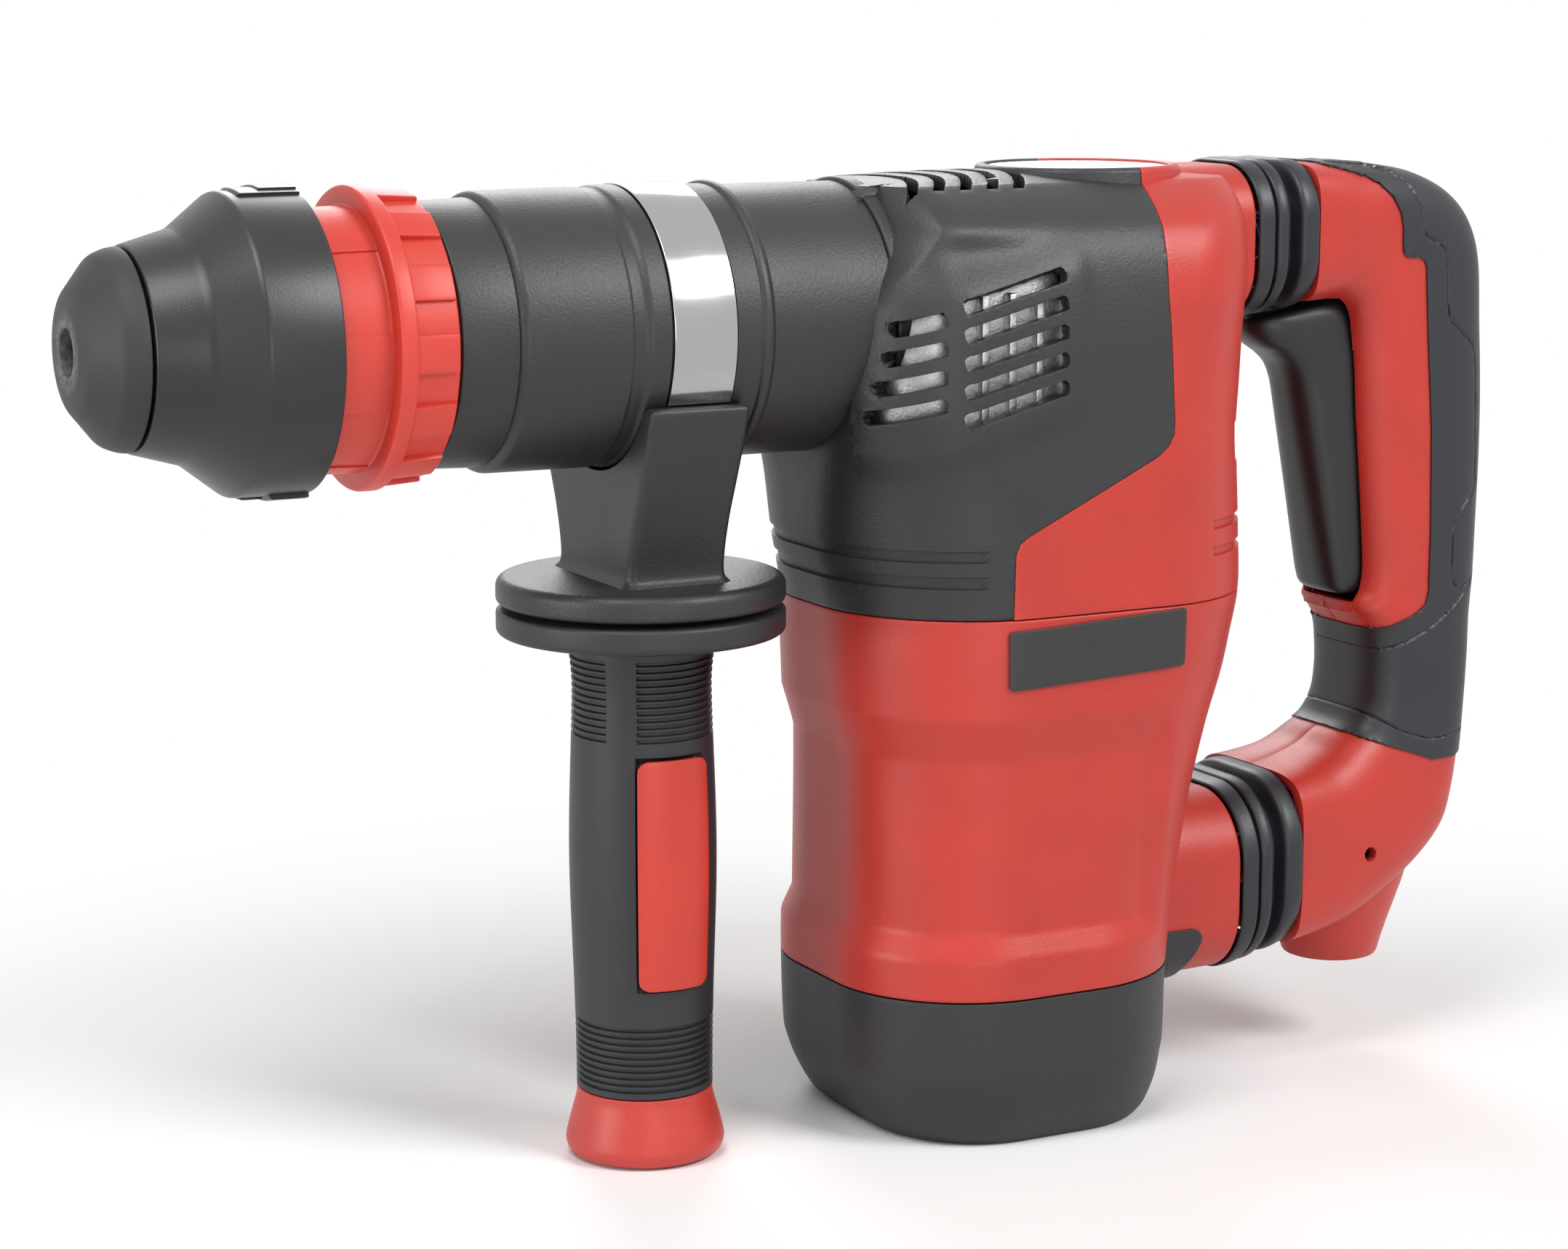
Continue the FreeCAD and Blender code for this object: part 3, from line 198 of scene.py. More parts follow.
floor_mesh = bmesh.new()
bmesh.ops.create_grid(floor_mesh, x_segments=1, y_segments=1, size=6)
floor = bpy.data.objects.new("floor", bpy.data.meshes.new("floor"))
floor_mesh.to_mesh(floor.data)
floor_mesh.free()
floor.location = (0, 0, -0.0004)
bpy.context.collection.objects.link(floor)
board = Paint("floor_board", {"Base Color": (0.93, 0.93, 0.93, 1), "Roughness": 0.9})
reach = board.node("ShaderNodeVectorMath", {"operation": "LENGTH"}, {0: board.place}, "Value")
glow = board.node("ShaderNodeEmission", {}, {"Color": (1, 1, 1, 1), "Strength": 1.0})
camera_ray, glossy_ray = (board.node("ShaderNodeLightPath", {}, {}, name) for name in SHOWN[:2])
seen = camera_ray.math("MAXIMUM", camera_ray, glossy_ray)
far = board.band(reach, 0.16, 0.34) * seen
mixed = board.node("ShaderNodeMixShader", {}, {0: far, 1: Field(board.shader.outputs[0]), 2: glow})
board.tree.links.new(mixed.socket, board.tree.nodes["Material Output"].inputs["Surface"])
floor.data.materials.append(board.material)


# Dust cap ------------------------------------------------------------------------------------
# A soft rubber dome with a hole for the shank. It snaps over the nose of the spindle and keeps
# dust out of the tool holder. The rim of the hole is worn grey.

MM = 0.001
spindle_low, spindle_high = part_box("spindle")
AXIS = Vector((0, 0, (spindle_low.z + spindle_high.z) / 2))
ALONG = Vector((1, 0, 0))
UP = Vector((0, 0, 1))


def rounded(bm, geom, offset, segments, affect="EDGES"):
    """Rounds edges of a solid, or corners of a flat outline where affect is VERTICES."""
    bmesh.ops.bevel(bm, geom=geom, offset=offset, offset_type="OFFSET", affect=affect,
                    segments=segments, profile=0.5, material=-1, clamp_overlap=True)


def rounded_wire(corners):
    """A closed wire through (across, up, round) corners in millimetres, rounds as edge cuts."""
    bm = bmesh.new()
    verts = [bm.verts.new((corner[0] * MM, corner[1] * MM, 0)) for corner in corners]
    for first, second in zip(verts, verts[1:] + verts[:1]):
        bm.edges.new((first, second))
    for vert, corner in zip(verts, corners):
        if len(corner) > 2:
            rounded(bm, [vert], corner[2] * MM, 6, "VERTICES")
    return bm


def turned(corners, centre=AXIS, axis=ALONG, steps=160, sweep=2 * math.pi, start=0.0):
    """A wire of (along, radius, round) corners spun about an axis."""
    bm = rounded_wire(corners)
    out = UP if axis == ALONG else ALONG
    side = axis.cross(out)
    stand = Matrix((axis, out, side)).transposed().to_4x4()
    bmesh.ops.transform(bm, matrix=stand, verts=bm.verts)
    bmesh.ops.translate(bm, vec=centre - axis * centre.dot(axis), verts=bm.verts)
    bmesh.ops.rotate(bm, cent=centre, matrix=Matrix.Rotation(start, 3, axis), verts=bm.verts)
    whole = sweep > 6
    if not whole:
        bmesh.ops.contextual_create(bm, geom=bm.edges[:])
    geom = bm.edges[:] + bm.verts[:] + bm.faces[:]
    bmesh.ops.spin(bm, geom=geom, cent=centre, axis=axis, angle=sweep, steps=steps, use_merge=whole)
    bmesh.ops.remove_doubles(bm, verts=bm.verts, dist=1e-6)
    bmesh.ops.dissolve_degenerate(bm, dist=1e-7, edges=bm.edges)
    bmesh.ops.recalc_face_normals(bm, faces=bm.faces)
    return bm


def piece(name, bm, body, slot, paint, *nodes, crease=32):
    """Makes the object of a finished bmesh, on its body and with its material. The slot is not used.

    Where body is None, the object stays on no body.
    """
    made = bpy.data.objects.new(name, bpy.data.meshes.new(name))
    bm.to_mesh(made.data)
    bm.free()
    made.data.shade_smooth()
    made.data.set_sharp_from_angle(angle=math.radians(crease))
    bpy.context.collection.objects.link(made)
    made.data.materials.append(paint.material)
    if body:
        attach(made, body)
    if nodes:
        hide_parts(*nodes)
    return made


def moulded(name, colour, roughness, grain, size=0.0004, drift=0.08):
    """Moulded plastic or rubber: fine pits, and slow drifts in colour and sheen."""
    paint = Paint(name, {"Specular IOR Level": 0.5})
    pits = paint.noise(size, 2.0)
    cloud = paint.noise(0.02, 3.0)
    mixed = pits * 0.5 + cloud * 0.5
    dark = [part * (1 - drift) for part in colour]
    light = [part * (1 + drift) + 0.004 * drift for part in colour]
    paint.feed("Base Color", paint.between(paint.band(mixed, 0.35, 0.65), dark, light))
    paint.feed("Roughness", cloud * 0.10 + pits * 0.12 + (roughness - 0.11))
    paint.bump(pits, grain)
    return paint


cap_rubber = moulded("cap_rubber", (0.020, 0.0205, 0.0215), 0.60, 0.00006)
radius = cap_rubber.node("ShaderNodeVectorMath", {"operation": "DISTANCE"},
                         {0: cap_rubber.place, 1: (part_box("dust_cap")[0].x, 0, AXIS.z)}, "Value")
worn = 1 - cap_rubber.band(radius, 0.0062, 0.0095)
scuff = cap_rubber.noise(0.0016, 4.0)
worn = worn * cap_rubber.band(scuff, 0.30, 0.62)
fresh = Field(cap_rubber.shader.inputs["Base Color"].links[0].from_socket)
WORN_GREY = (0.16, 0.16, 0.165, 1)
rim = cap_rubber.node("ShaderNodeMix", {"data_type": "RGBA"}, {0: worn * 0.75, 6: fresh, 7: WORN_GREY}, 2)
cap_rubber.feed("Base Color", rim)
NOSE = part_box("dust_cap")[0].x / MM
CAP_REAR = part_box("locking_sleeve")[0].x / MM
piece("nose_cap", turned([
    (NOSE, 5.27, 0.5), (-206.5, 5.27), (-206.5, 13), (-201.2, 13), (-201.2, 18.5),
    (CAP_REAR - 0.5, 18.5), (CAP_REAR - 0.5, 21.9, 0.5), (NOSE + 9.8, 21.6, 0.8),
    (NOSE + 6.8, 20.4, 1.0), (NOSE + 0.9, 13.2, 1.0), (NOSE, 9.3, 0.5),
]), "spindle", "cap_rubber", cap_rubber, "dust_cap")


# Locking sleeve ------------------------------------------------------------------------------
# The pull-back sleeve of the tool holder, moulded in black. Its collar flares to cover the neck
# of the ring, and two stepped pads at the top and bottom give the fingers a hold.

sleeve_black = moulded("sleeve_black", (0.014, 0.0142, 0.0152), 0.36, 0.00003)
COLLAR_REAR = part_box("locking_sleeve")[1].x / MM
piece("pull_sleeve", turned([
    (CAP_REAR + 0.2, 18.9), (-200.1, 18.9), (-200.1, 13.4), (-196.1, 13.4), (-196.1, 20),
    (-185.6, 29.4), (COLLAR_REAR, 29.4), (COLLAR_REAR, 32.9, 0.5), (-188.0, 32.8, 0.7),
    (-197.6, 25.4, 1.2), (CAP_REAR + 0.2, 22.2, 0.5),
]), "locking_sleeve", "sleeve_black", sleeve_black, "locking_sleeve")

for pad, turn in (("top", 0.0), ("bottom", math.pi)):
    for step, (front, rise, half) in enumerate(((-186.0, 0.55, 9.0), (-181.0, 1.0, 11.5))):
        lean = -3.0 if step else 3.5
        start = math.radians(lean - half) + turn
        bm = turned([
            (front, 32.0), (COLLAR_REAR - 0.3, 32.0), (COLLAR_REAR - 0.3, 32.9 + rise, 0.3),
            (front + 0.8, 32.9 + rise, 0.4), (front, 32.7),
        ], steps=14, sweep=math.radians(2 * half), start=start)
        piece(f"sleeve_pad_{pad}_{step}", bm, "locking_sleeve", "sleeve_black", sleeve_black)


# Adjusting ring ------------------------------------------------------------------------------
# A bright red ring behind the sleeve. Its neck runs under the collar in stepped segments, its
# flange stops the thumb, and thirteen low blocks round its rear half are what the fingers turn.

ring_red = moulded("ring_red", (0.60, 0.045, 0.028), 0.42, 0.00002, drift=0.05)
ring_red.shader.inputs["Subsurface Weight"].default_value = 0.04
ring_red.shader.inputs["Subsurface Radius"].default_value = (0.004, 0.001, 0.0006)
RING_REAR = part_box("adjusting_ring")[1].x / MM
piece("turning_ring", turned([
    (-176, 24.1), (RING_REAR, 24.1), (RING_REAR, 31.0, 0.7), (-155.3, 31.2),
    (-155.3, 33.3, 0.6), (-159.2, 33.3, 0.7), (-159.4, 28.9, 0.6), (-176, 28.4, 0.3),
]), "adjusting_ring", "ring_red", ring_red, "adjusting_ring")
RIBS = 13
for rib in range(RIBS):
    turn = 2 * math.pi * (rib + 0.3) / RIBS
    half = math.radians(7.2)
    bm = turned([
        (-155.6, 30.6), (RING_REAR - 0.5, 30.6), (RING_REAR - 0.5, 32.0, 0.4), (-155.6, 32.6),
    ], steps=8, sweep=2 * half, start=turn - half)
    rounded(bm, bm.edges[:], 0.22 * MM, 2)
    piece(f"ring_rib_{rib}", bm, "adjusting_ring", "ring_red", ring_red)
for step in range(5):
    bm = turned([
        (-172.0, 28.0), (-159.3, 28.0), (-159.3, 29.25), (-172.0, 29.0, 0.3),
    ], steps=20, sweep=math.radians(34), start=math.radians(72 * step + 11))
    piece(f"ring_step_{step}", bm, "adjusting_ring", "ring_red", ring_red)


# Neck, barrel and strap ----------------------------------------------------------------------
# The barrel is moulded black with a fine spark grain. Two low ridges keep the polished strap of
# the side handle in its place, and the slimmer neck ahead of it carries the ring.

grained_black = moulded("grained_black", (0.019, 0.0195, 0.0205), 0.46, 0.00008, 0.0007)
BARREL_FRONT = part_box("barrel")[0].x / MM
STRAP_FRONT, STRAP_REAR = (corner.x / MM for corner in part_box("handle_strap"))
JOINT_X = -39.5
piece("barrel_tube", turned([
    (BARREL_FRONT, 27.2), (-44.0, 27.2), (-44.0, 29.6), (JOINT_X, 29.6), (JOINT_X, 31.0, 0.3),
    (STRAP_REAR + 9.6, 31.0, 0.5), (STRAP_REAR + 9.0, 32.1, 0.8), (STRAP_REAR + 6.9, 32.1, 0.8),
    (STRAP_REAR + 6.6, 31.3, 0.5), (STRAP_REAR + 0.4, 31.3, 0.2), (STRAP_REAR + 0.4, 30.9),
    (STRAP_FRONT - 0.4, 30.9), (STRAP_FRONT - 0.4, 31.7, 0.3), (STRAP_FRONT - 5.2, 31.7, 0.6),
    (STRAP_FRONT - 6.2, 31.0, 0.6), (STRAP_FRONT - 9.2, 31.0, 0.3), (STRAP_FRONT - 9.7, 31.4, 0.3),
    (BARREL_FRONT + 0.4, 31.2, 1.8), (BARREL_FRONT, 29.0, 0.4),
]), "housing", "black_plastic", grained_black, "barrel")
piece("neck_tube", turned([
    (-178, 19.5), (-141, 19.5), (-141, 27.2), (BARREL_FRONT + 0.2, 27.2),
    (BARREL_FRONT + 0.2, 29.8, 0.3), (RING_REAR + 1.0, 29.3, 0.5), (RING_REAR + 0.6, 24),
    (-178, 24),
]), "housing", "black_plastic", grained_black, "front_neck")

polished = Paint("polished_strap", {"Metallic": 1.0, "Base Color": (0.42, 0.42, 0.43, 1)})
smear = polished.noise(0.012, 4.0)
scratch = polished.noise(0.0006, 3.0, (0.06, 1, 1))
polished.feed("Roughness", smear * 0.16 + scratch * 0.05 + 0.05)
polished.bump(scratch, 0.000003)
piece("strap_band", turned([
    (STRAP_FRONT, 31.06), (STRAP_REAR, 31.06), (STRAP_REAR, 32.0, 0.25), (STRAP_FRONT, 32.0, 0.25),
]), "side_clamp", "polished_strap", polished, "handle_strap")


# Side handle ---------------------------------------------------------------------------------
# A black saddle draws the strap tight round the barrel. Under its round guard a soft ribbed grip
# turns on the clamp bolt, with a red panel let into its side and a flared red end.

SIDE_X = (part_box("side_grip")[0].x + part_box("side_grip")[1].x) / 2 / MM
SIDE = Vector((SIDE_X * MM, 0, 0))
GUARD_TOP = 137.0
STRAP_MIDDLE = (STRAP_FRONT + STRAP_REAR) / 2


def superellipse(turn, squareness):
    """Cosine and sine, swollen towards a square as squareness grows past 2."""
    power = 2 / squareness
    across, up = math.cos(turn), math.sin(turn)
    return (math.copysign(abs(across) ** power, across), math.copysign(abs(up) ** power, up))


def lofted(sections, ring, around=96):
    """A skin through closed sections: each ring of edges is extruded from the last one."""
    bm = bmesh.new()
    bmesh.ops.create_circle(bm, segments=around, radius=1)
    share = bm.verts.layers.float.new("share")
    verts, rim = bm.verts[:], bm.edges[:]
    for vert in verts:
        vert[share] = (math.atan2(vert.co.y, vert.co.x) / (2 * math.pi)) % 1
    for index, section in enumerate(sections):
        if index:
            grown = bmesh.ops.extrude_edge_only(bm, edges=rim)["geom"]
            verts = [part for part in grown if isinstance(part, bmesh.types.BMVert)]
            rim = [part for part in grown if isinstance(part, bmesh.types.BMEdge)]
        for vert in verts:
            vert.co = ring(section, vert[share]) * MM
    return bm


def eased(sections, steps):
    """Sections with steps - 1 more between each two, on a smooth curve through them all."""
    smooth = []
    last = len(sections) - 1
    for index in range(last):
        four = [sections[min(max(index + shift, 0), last)] for shift in (-1, 0, 1, 2)]
        for step in range(steps):
            t = step / steps
            row = []
            for before, start, end, after in zip(*four):
                bow = (end - before) * t + (2 * before - 5 * start + 4 * end - after) * t ** 2
                bow += (3 * start - before - 3 * end + after) * t ** 3
                row.append(start + bow / 2)
            smooth.append(row)
    smooth.append(list(sections[last]))
    return smooth


def closed(bm):
    """Caps both open ends of a skin and turns its faces outwards."""
    bmesh.ops.holes_fill(bm, edges=[edge for edge in bm.edges if edge.is_boundary], sides=0)
    bmesh.ops.recalc_face_normals(bm, faces=bm.faces)
    return bm


def quarter(share, reach, half, corner):
    """A point of one quarter of a rounded rectangle: a flat, an arc and the other flat."""
    if share < 0.18:
        return (reach, (half - corner) * share / 0.18)
    if share < 0.68:
        turn = (share - 0.18) / 0.50 * math.pi / 2
        return (reach - corner + corner * math.cos(turn), half - corner + corner * math.sin(turn))
    return ((reach - corner) * (1 - share) / 0.32, half)


def round_box(share, reach, half, corner):
    """A point of a rounded rectangle's outline, from its right middle and on to the left."""
    place = share * 4
    number = int(place) % 4
    within = place - int(place)
    x, y = quarter(1 - within if number % 2 else within, reach, half, corner)
    return (x if number in (0, 3) else -x, y if number < 2 else -y)


def post_ring(section, share):
    """A section of the saddle's post: height, half widths along and across, corner."""
    height, along, across, corner = section
    x, y = round_box(share, along, across, corner)
    return Vector((SIDE_X + 0.2 + x, y, height))


saddle_black = moulded("saddle_black", (0.017, 0.0175, 0.019), 0.46, 0.00009, 0.0007)
post = closed(lofted(eased([
    (135.0, 15.5, 23.0, 4.0), (137.2, 13.4, 20.6, 3.0), (139.0, 12.3, 19.6, 2.4),
    (144.0, 12.0, 20.2, 2.0), (152.0, 11.9, 22.8, 2.0), (160.0, 11.9, 26.2, 2.0),
    (168.0, 12.0, 29.4, 2.0), (175.5, 12.2, 31.9, 2.0), (177.6, 12.1, 32.3, 1.8),
    (178.4, 11.2, 31.6, 1.4),
], 4), post_ring))
seat = turned([
    (STRAP_MIDDLE - 24, 0), (STRAP_MIDDLE + 24, 0), (STRAP_MIDDLE + 24, 32.4),
    (STRAP_MIDDLE - 24, 32.4),
])


def carved(bm, cutter):
    """The bmesh with another one cut out of it."""
    parts = []
    for source in (bm, cutter):
        mesh = bpy.data.meshes.new("carving")
        source.to_mesh(mesh)
        source.free()
        parts.append(bpy.data.objects.new("carving", mesh))
        bpy.context.collection.objects.link(parts[-1])
    knife = parts[0].modifiers.new("carve", "BOOLEAN")
    knife.operation = "DIFFERENCE"
    knife.object = parts[1]
    graph = bpy.context.evaluated_depsgraph_get()
    result = bmesh.new()
    result.from_mesh(parts[0].evaluated_get(graph).to_mesh())
    for part in parts:
        mesh = part.data
        bpy.data.objects.remove(part)
        bpy.data.meshes.remove(mesh)
    return result


piece("saddle_post", carved(post, seat), "side_clamp", "black_plastic", saddle_black, "handle_saddle")
piece("saddle_guard", turned([
    (130.7, 0), (130.7, 32.3, 0.8), (131.6, 33.3, 1.2), (GUARD_TOP, 33.3, 2.4), (GUARD_TOP, 0),
], SIDE, UP), "side_clamp", "black_plastic", saddle_black)

soft_grip = moulded("soft_grip", (0.016, 0.017, 0.020), 0.50, 0.00004, 0.0005)
GRIP_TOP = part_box("side_grip")[1].z / MM
GRIP_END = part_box("side_grip")[0].z / MM
PANEL_TURN = math.radians(-90)
PANEL_HALF = math.radians(31)
PANEL_LOW, PANEL_HIGH = 42.0, 97.0
GROOVE_PITCH, GROOVE_WIDE, GROOVE_DEEP = 1.62, 0.72, 0.75


def grip_radius(height):
    """The grip swells a little where the palm closes round it."""
    swell = math.exp(-((height - 72) / 30) ** 2)
    return 15.9 + 1.25 * swell + 0.7 * math.exp(-((height - 120) / 5) ** 2)


def grip_ring(section, share):
    """A ring of the side grip, ribbed near both ends and sunk behind the red panel."""
    height = section[0]
    turn = share * 2 * math.pi
    radius = grip_radius(height)
    off = (turn - PANEL_TURN + math.pi) % (2 * math.pi) - math.pi
    seam = min(abs((turn - math.radians(place) + math.pi) % (2 * math.pi) - math.pi)
               for place in (-132, 48))
    ribbed_high = 99.5 < height < 119.2 and seam > math.radians(13)
    ribbed_low = 17.0 < height < 33.4
    if (ribbed_high or ribbed_low) and height % GROOVE_PITCH < GROOVE_WIDE:
        radius -= GROOVE_DEEP
    sink = min(PANEL_HALF - abs(off), (height - PANEL_LOW) / 16.5, (PANEL_HIGH - height) / 16.5)
    radius -= 1.5 * min(1.0, max(0.0, sink * 16.5 / 0.7))
    return Vector((SIDE_X + radius * math.cos(turn), radius * math.sin(turn), height))


grip_heights = [GRIP_END + 0.3]
while grip_heights[-1] < 123.2:
    grip_heights.append(grip_heights[-1] + (0.7 if 34 < grip_heights[-1] < 99 else 0.27))
grip_rows = [[height] for height in grip_heights]
piece("soft_sleeve", closed(lofted(grip_rows, grip_ring, 256)), "side_grip", "soft_black", soft_grip,
      "side_grip", crease=50)
piece("grip_guard", turned([
    (121.5, 0), (121.5, 17.5, 1.0), (123.5, 20.0, 1.5), (123.5, 32.4, 0.9), (124.6, 33.3, 0.8),
    (GRIP_TOP - 0.1, 33.3, 0.9), (GRIP_TOP + 0.2, 31.5, 0.8), (GRIP_TOP + 0.2, 0),
], SIDE, UP), "side_grip", "soft_black", soft_grip)

panel_red = moulded("panel_red", (0.52, 0.036, 0.020), 0.34, 0.00002)


def rounded_sheet(wide, tall, corner, segments):
    """A flat rectangle with rounded corners, at the origin and in millimetres."""
    bm = bmesh.new()
    bmesh.ops.create_grid(bm, x_segments=1, y_segments=1, size=1)
    bmesh.ops.scale(bm, vec=(wide / 2, tall / 2, 1), verts=bm.verts)
    rounded(bm, bm.verts[:], corner, segments, "VERTICES")
    return bm


def divided(bm, wide, tall, columns, rows):
    """Cuts a flat sheet into a grid, so that it can follow a curved side."""
    for count, size, across in ((columns, wide, ALONG), (rows, tall, Vector((0, 1, 0)))):
        for index in range(1, count):
            geom = bm.verts[:] + bm.edges[:] + bm.faces[:]
            at = across * ((index / count - 0.5) * size)
            bmesh.ops.bisect_plane(bm, geom=geom, plane_co=at, plane_no=across)
    return bm


PANEL_RADIUS = 16.2
PANEL_WIDE = 2 * PANEL_RADIUS * (PANEL_HALF - math.radians(2.0))
PANEL_TALL = PANEL_HIGH - PANEL_LOW
panel = divided(rounded_sheet(PANEL_WIDE, PANEL_TALL - 1.2, 2.6, 6), PANEL_WIDE, PANEL_TALL, 16, 28)
for vert in panel.verts:
    height = vert.co.y + (PANEL_LOW + PANEL_HIGH) / 2
    turn = PANEL_TURN + vert.co.x / PANEL_RADIUS
    radius = grip_radius(height) + 0.15
    vert.co = Vector((SIDE_X + radius * math.cos(turn), radius * math.sin(turn), height)) * MM
bmesh.ops.recalc_face_normals(panel, faces=panel.faces)
made = piece("grip_panel", panel, "side_grip", "inlay_red", panel_red, "grip_inlay")


def walled(made, thick, edge, segments=3):
    """Gives an open skin its wall, inwards, and rounds the rim."""
    wall = made.modifiers.new("wall", "SOLIDIFY")
    wall.thickness = thick * MM
    wall.offset = -1
    rim = made.modifiers.new("rim", "BEVEL")
    rim.width = edge * MM
    rim.segments = segments
    rim.limit_method = "ANGLE"
    rim.angle_limit = math.radians(50)
    return made


walled(made, 1.4, 0.45)

flare_red = moulded("flare_red", (0.50, 0.042, 0.030), 0.42, 0.00003)
piece("flared_end", turned([
    (0, 0), (0, 17.2, 1.0), (2.2, 18.9, 1.6), (6.5, 18.0, 4.0), (GRIP_END - 2.0, 15.9, 1.0),
    (GRIP_END - 0.1, 15.9, 0.4), (GRIP_END - 0.1, 0),
], SIDE, UP), "side_grip", "red_plastic", flare_red, "grip_end_cap")


# Base cap ------------------------------------------------------------------------------------
# The foot is a deep black cup with a broad chamfer. It closes the motor housing from below and
# sends a short tang back along the lower arm.

# The body's sections, for all its housings: height, front, rear, half width, front corner and
# rear corner.
BODY = [
    (0, -33.0, 36.5, 37.5, 25.0, 26.0), (2.0, -35.2, 38.2, 39.2, 27.0, 28.0),
    (8.0, -38.8, 40.6, 41.8, 30.0, 31.0), (14.0, -41.6, 41.9, 43.2, 32.5, 33.0),
    (18.0, -42.6, 42.3, 43.6, 33.0, 33.0), (36.3, -43.5, 43.0, 44.0, 34.0, 34.0),
    (56, -43.5, 45.5, 44.0, 34.5, 34.5), (78, -43.4, 49.5, 44.0, 35.0, 35.0),
    (95, -43.6, 54.2, 44.0, 35.5, 35.5), (107, -44.2, 58.5, 44.0, 36.0, 36.0),
    (116, -44.9, 61.2, 44.0, 37.0, 37.0), (126.6, -45.2, 63.8, 44.0, 38.0, 38.0),
    (142, -47.5, 63.0, 43.9, 37.0, 37.0), (156, -48.6, 61.9, 43.8, 35.0, 36.0),
    (166, -49.0, 61.2, 43.4, 30.0, 35.0), (176, -49.0, 61.0, 43.1, 26.0, 33.0),
    (190, -48.0, 61.0, 42.8, 24.0, 31.0), (200, -46.4, 61.0, 42.0, 23.0, 28.0),
    (208, -44.6, 60.7, 40.4, 22.0, 25.0), (214, -43.0, 60.4, 37.6, 20.0, 22.0),
    (218, -41.8, 60.1, 33.8, 18.0, 19.0), (221, -40.8, 59.7, 29.6, 16.0, 16.0),
    (223, -39.8, 59.2, 26.2, 14.0, 14.0), (224.4, -38.6, 58.4, 23.6, 12.0, 12.0),
]
CAP_SEAM = 36.3
BODY_SEAM = 126.6
SEAM_GAP = 0.16


def body_section(height):
    """The housing's section at a height, on a smooth curve through the table's sections."""
    index = 0
    while index < len(BODY) - 2 and height > BODY[index + 1][0]:
        index += 1
    low, high = BODY[index], BODY[index + 1]
    before = BODY[max(index - 1, 0)]
    after = BODY[min(index + 2, len(BODY) - 1)]
    span = high[0] - low[0]
    t = min(max((height - low[0]) / span, 0), 1)
    section = [height]
    for a, b, c, d in zip(before[1:], low[1:], high[1:], after[1:]):
        slope_low = (c - a) / (high[0] - before[0]) * span
        slope_high = (d - b) / (after[0] - low[0]) * span
        value = b * (2 * t ** 3 - 3 * t ** 2 + 1) + slope_low * (t ** 3 - 2 * t ** 2 + t)
        value += c * (3 * t ** 2 - 2 * t ** 3) + slope_high * (t ** 3 - t ** 2)
        section.append(value)
    return section


def body_ring(section, share):
    """A ring of the housing, starting at the rear and going round by the right side."""
    height, front, rear, half, nose, tail = section
    x, y = round_box(share, (rear - front) / 2, half, tail if share < 0.25 or share > 0.75 else nose)
    return Vector(((front + rear) / 2 + x, y, height))


def body_rows(low, high, pitch=1.0):
    """Sections of the housing between two heights, about a pitch apart."""
    count = max(1, round((high - low) / pitch))
    return [body_section(low + (high - low) * step / count) for step in range(count + 1)]


cap_black = moulded("cap_black", (0.016, 0.0165, 0.018), 0.50, 0.00008, 0.0007)
foot = lofted(body_rows(0, CAP_SEAM - SEAM_GAP), body_ring, 256)
for x in (-20, 20):
    for y in (-22, 22):
        bmesh.ops.create_circle(foot, segments=32, radius=4 * MM,
                                matrix=Matrix.Translation(Vector((x, y, 0)) * MM))
sole = [edge for edge in foot.edges if len(edge.link_faces) < 2
        and max(vert.co.z for vert in edge.verts) < 1e-6]
bmesh.ops.triangle_fill(foot, use_beauty=True, edges=sole)
bmesh.ops.recalc_face_normals(foot, faces=foot.faces)
walled(piece("base_cup", foot, "housing", "black_plastic", cap_black, "base_cap"), 3.0, 0.5)


# Motor housing -------------------------------------------------------------------------------
# Red, and slimmer where a hand steadies it: a stepped recess runs round the front from one flat
# side to the other. Above it is the dark plate for a label, left bare.

body_red = moulded("body_red", (0.47, 0.030, 0.019), 0.42, 0.00005, 0.0006)
RECESS = 2.6


def ramp(value, start, end):
    """0 before start, 1 after end, straight in between; start may be above end."""
    return min(max((value - start) / (end - start), 0.0), 1.0)


def waist(x, z):
    """How deep the stepped recess of the motor housing lies, from 0 to 1."""
    beside = max(x - 24.0, 0.0) / 6.0
    above = max(z - 93.0, 0.0) / 10.0
    below = max(52.0 - z, 0.0) / 6.0
    return 1 - min(math.hypot(beside, above, below), 1.0)


def sunk(bm, depth):
    """Moves every vertex inwards, level, by a depth in millimetres found from its place."""
    bm.normal_update()
    moves = []
    for vert in bm.verts:
        inward = Vector((-vert.normal.x, -vert.normal.y, 0))
        if inward.length > 0.01:
            moves.append((vert, inward.normalized() * depth(vert.co / MM) * MM))
    for vert, move in moves:
        vert.co += move
    return bm


motor_skin = lofted(body_rows(CAP_SEAM + SEAM_GAP, BODY_SEAM - SEAM_GAP, 0.9), body_ring, 320)
bmesh.ops.recalc_face_normals(motor_skin, faces=motor_skin.faces)
sunk(motor_skin, lambda place: RECESS * waist(place.x, place.z))
walled(piece("motor_shell", motor_skin, "housing", "red_plastic", body_red, "motor_housing"), 2.6, 0.45)

LABEL_FRONT, LABEL_REAR = -16.4, 31.2
LABEL_LOW, LABEL_HIGH = 110.2, 123.9
label_dark = moulded("label_dark", (0.020, 0.020, 0.021), 0.46, 0.00001)
LABEL_WIDE = LABEL_REAR - LABEL_FRONT
LABEL_TALL = LABEL_HIGH - LABEL_LOW
LABEL_SLANT = 0.045
label = divided(rounded_sheet(LABEL_WIDE, LABEL_TALL, 0.9, 5), LABEL_WIDE, LABEL_TALL, 40, 12)


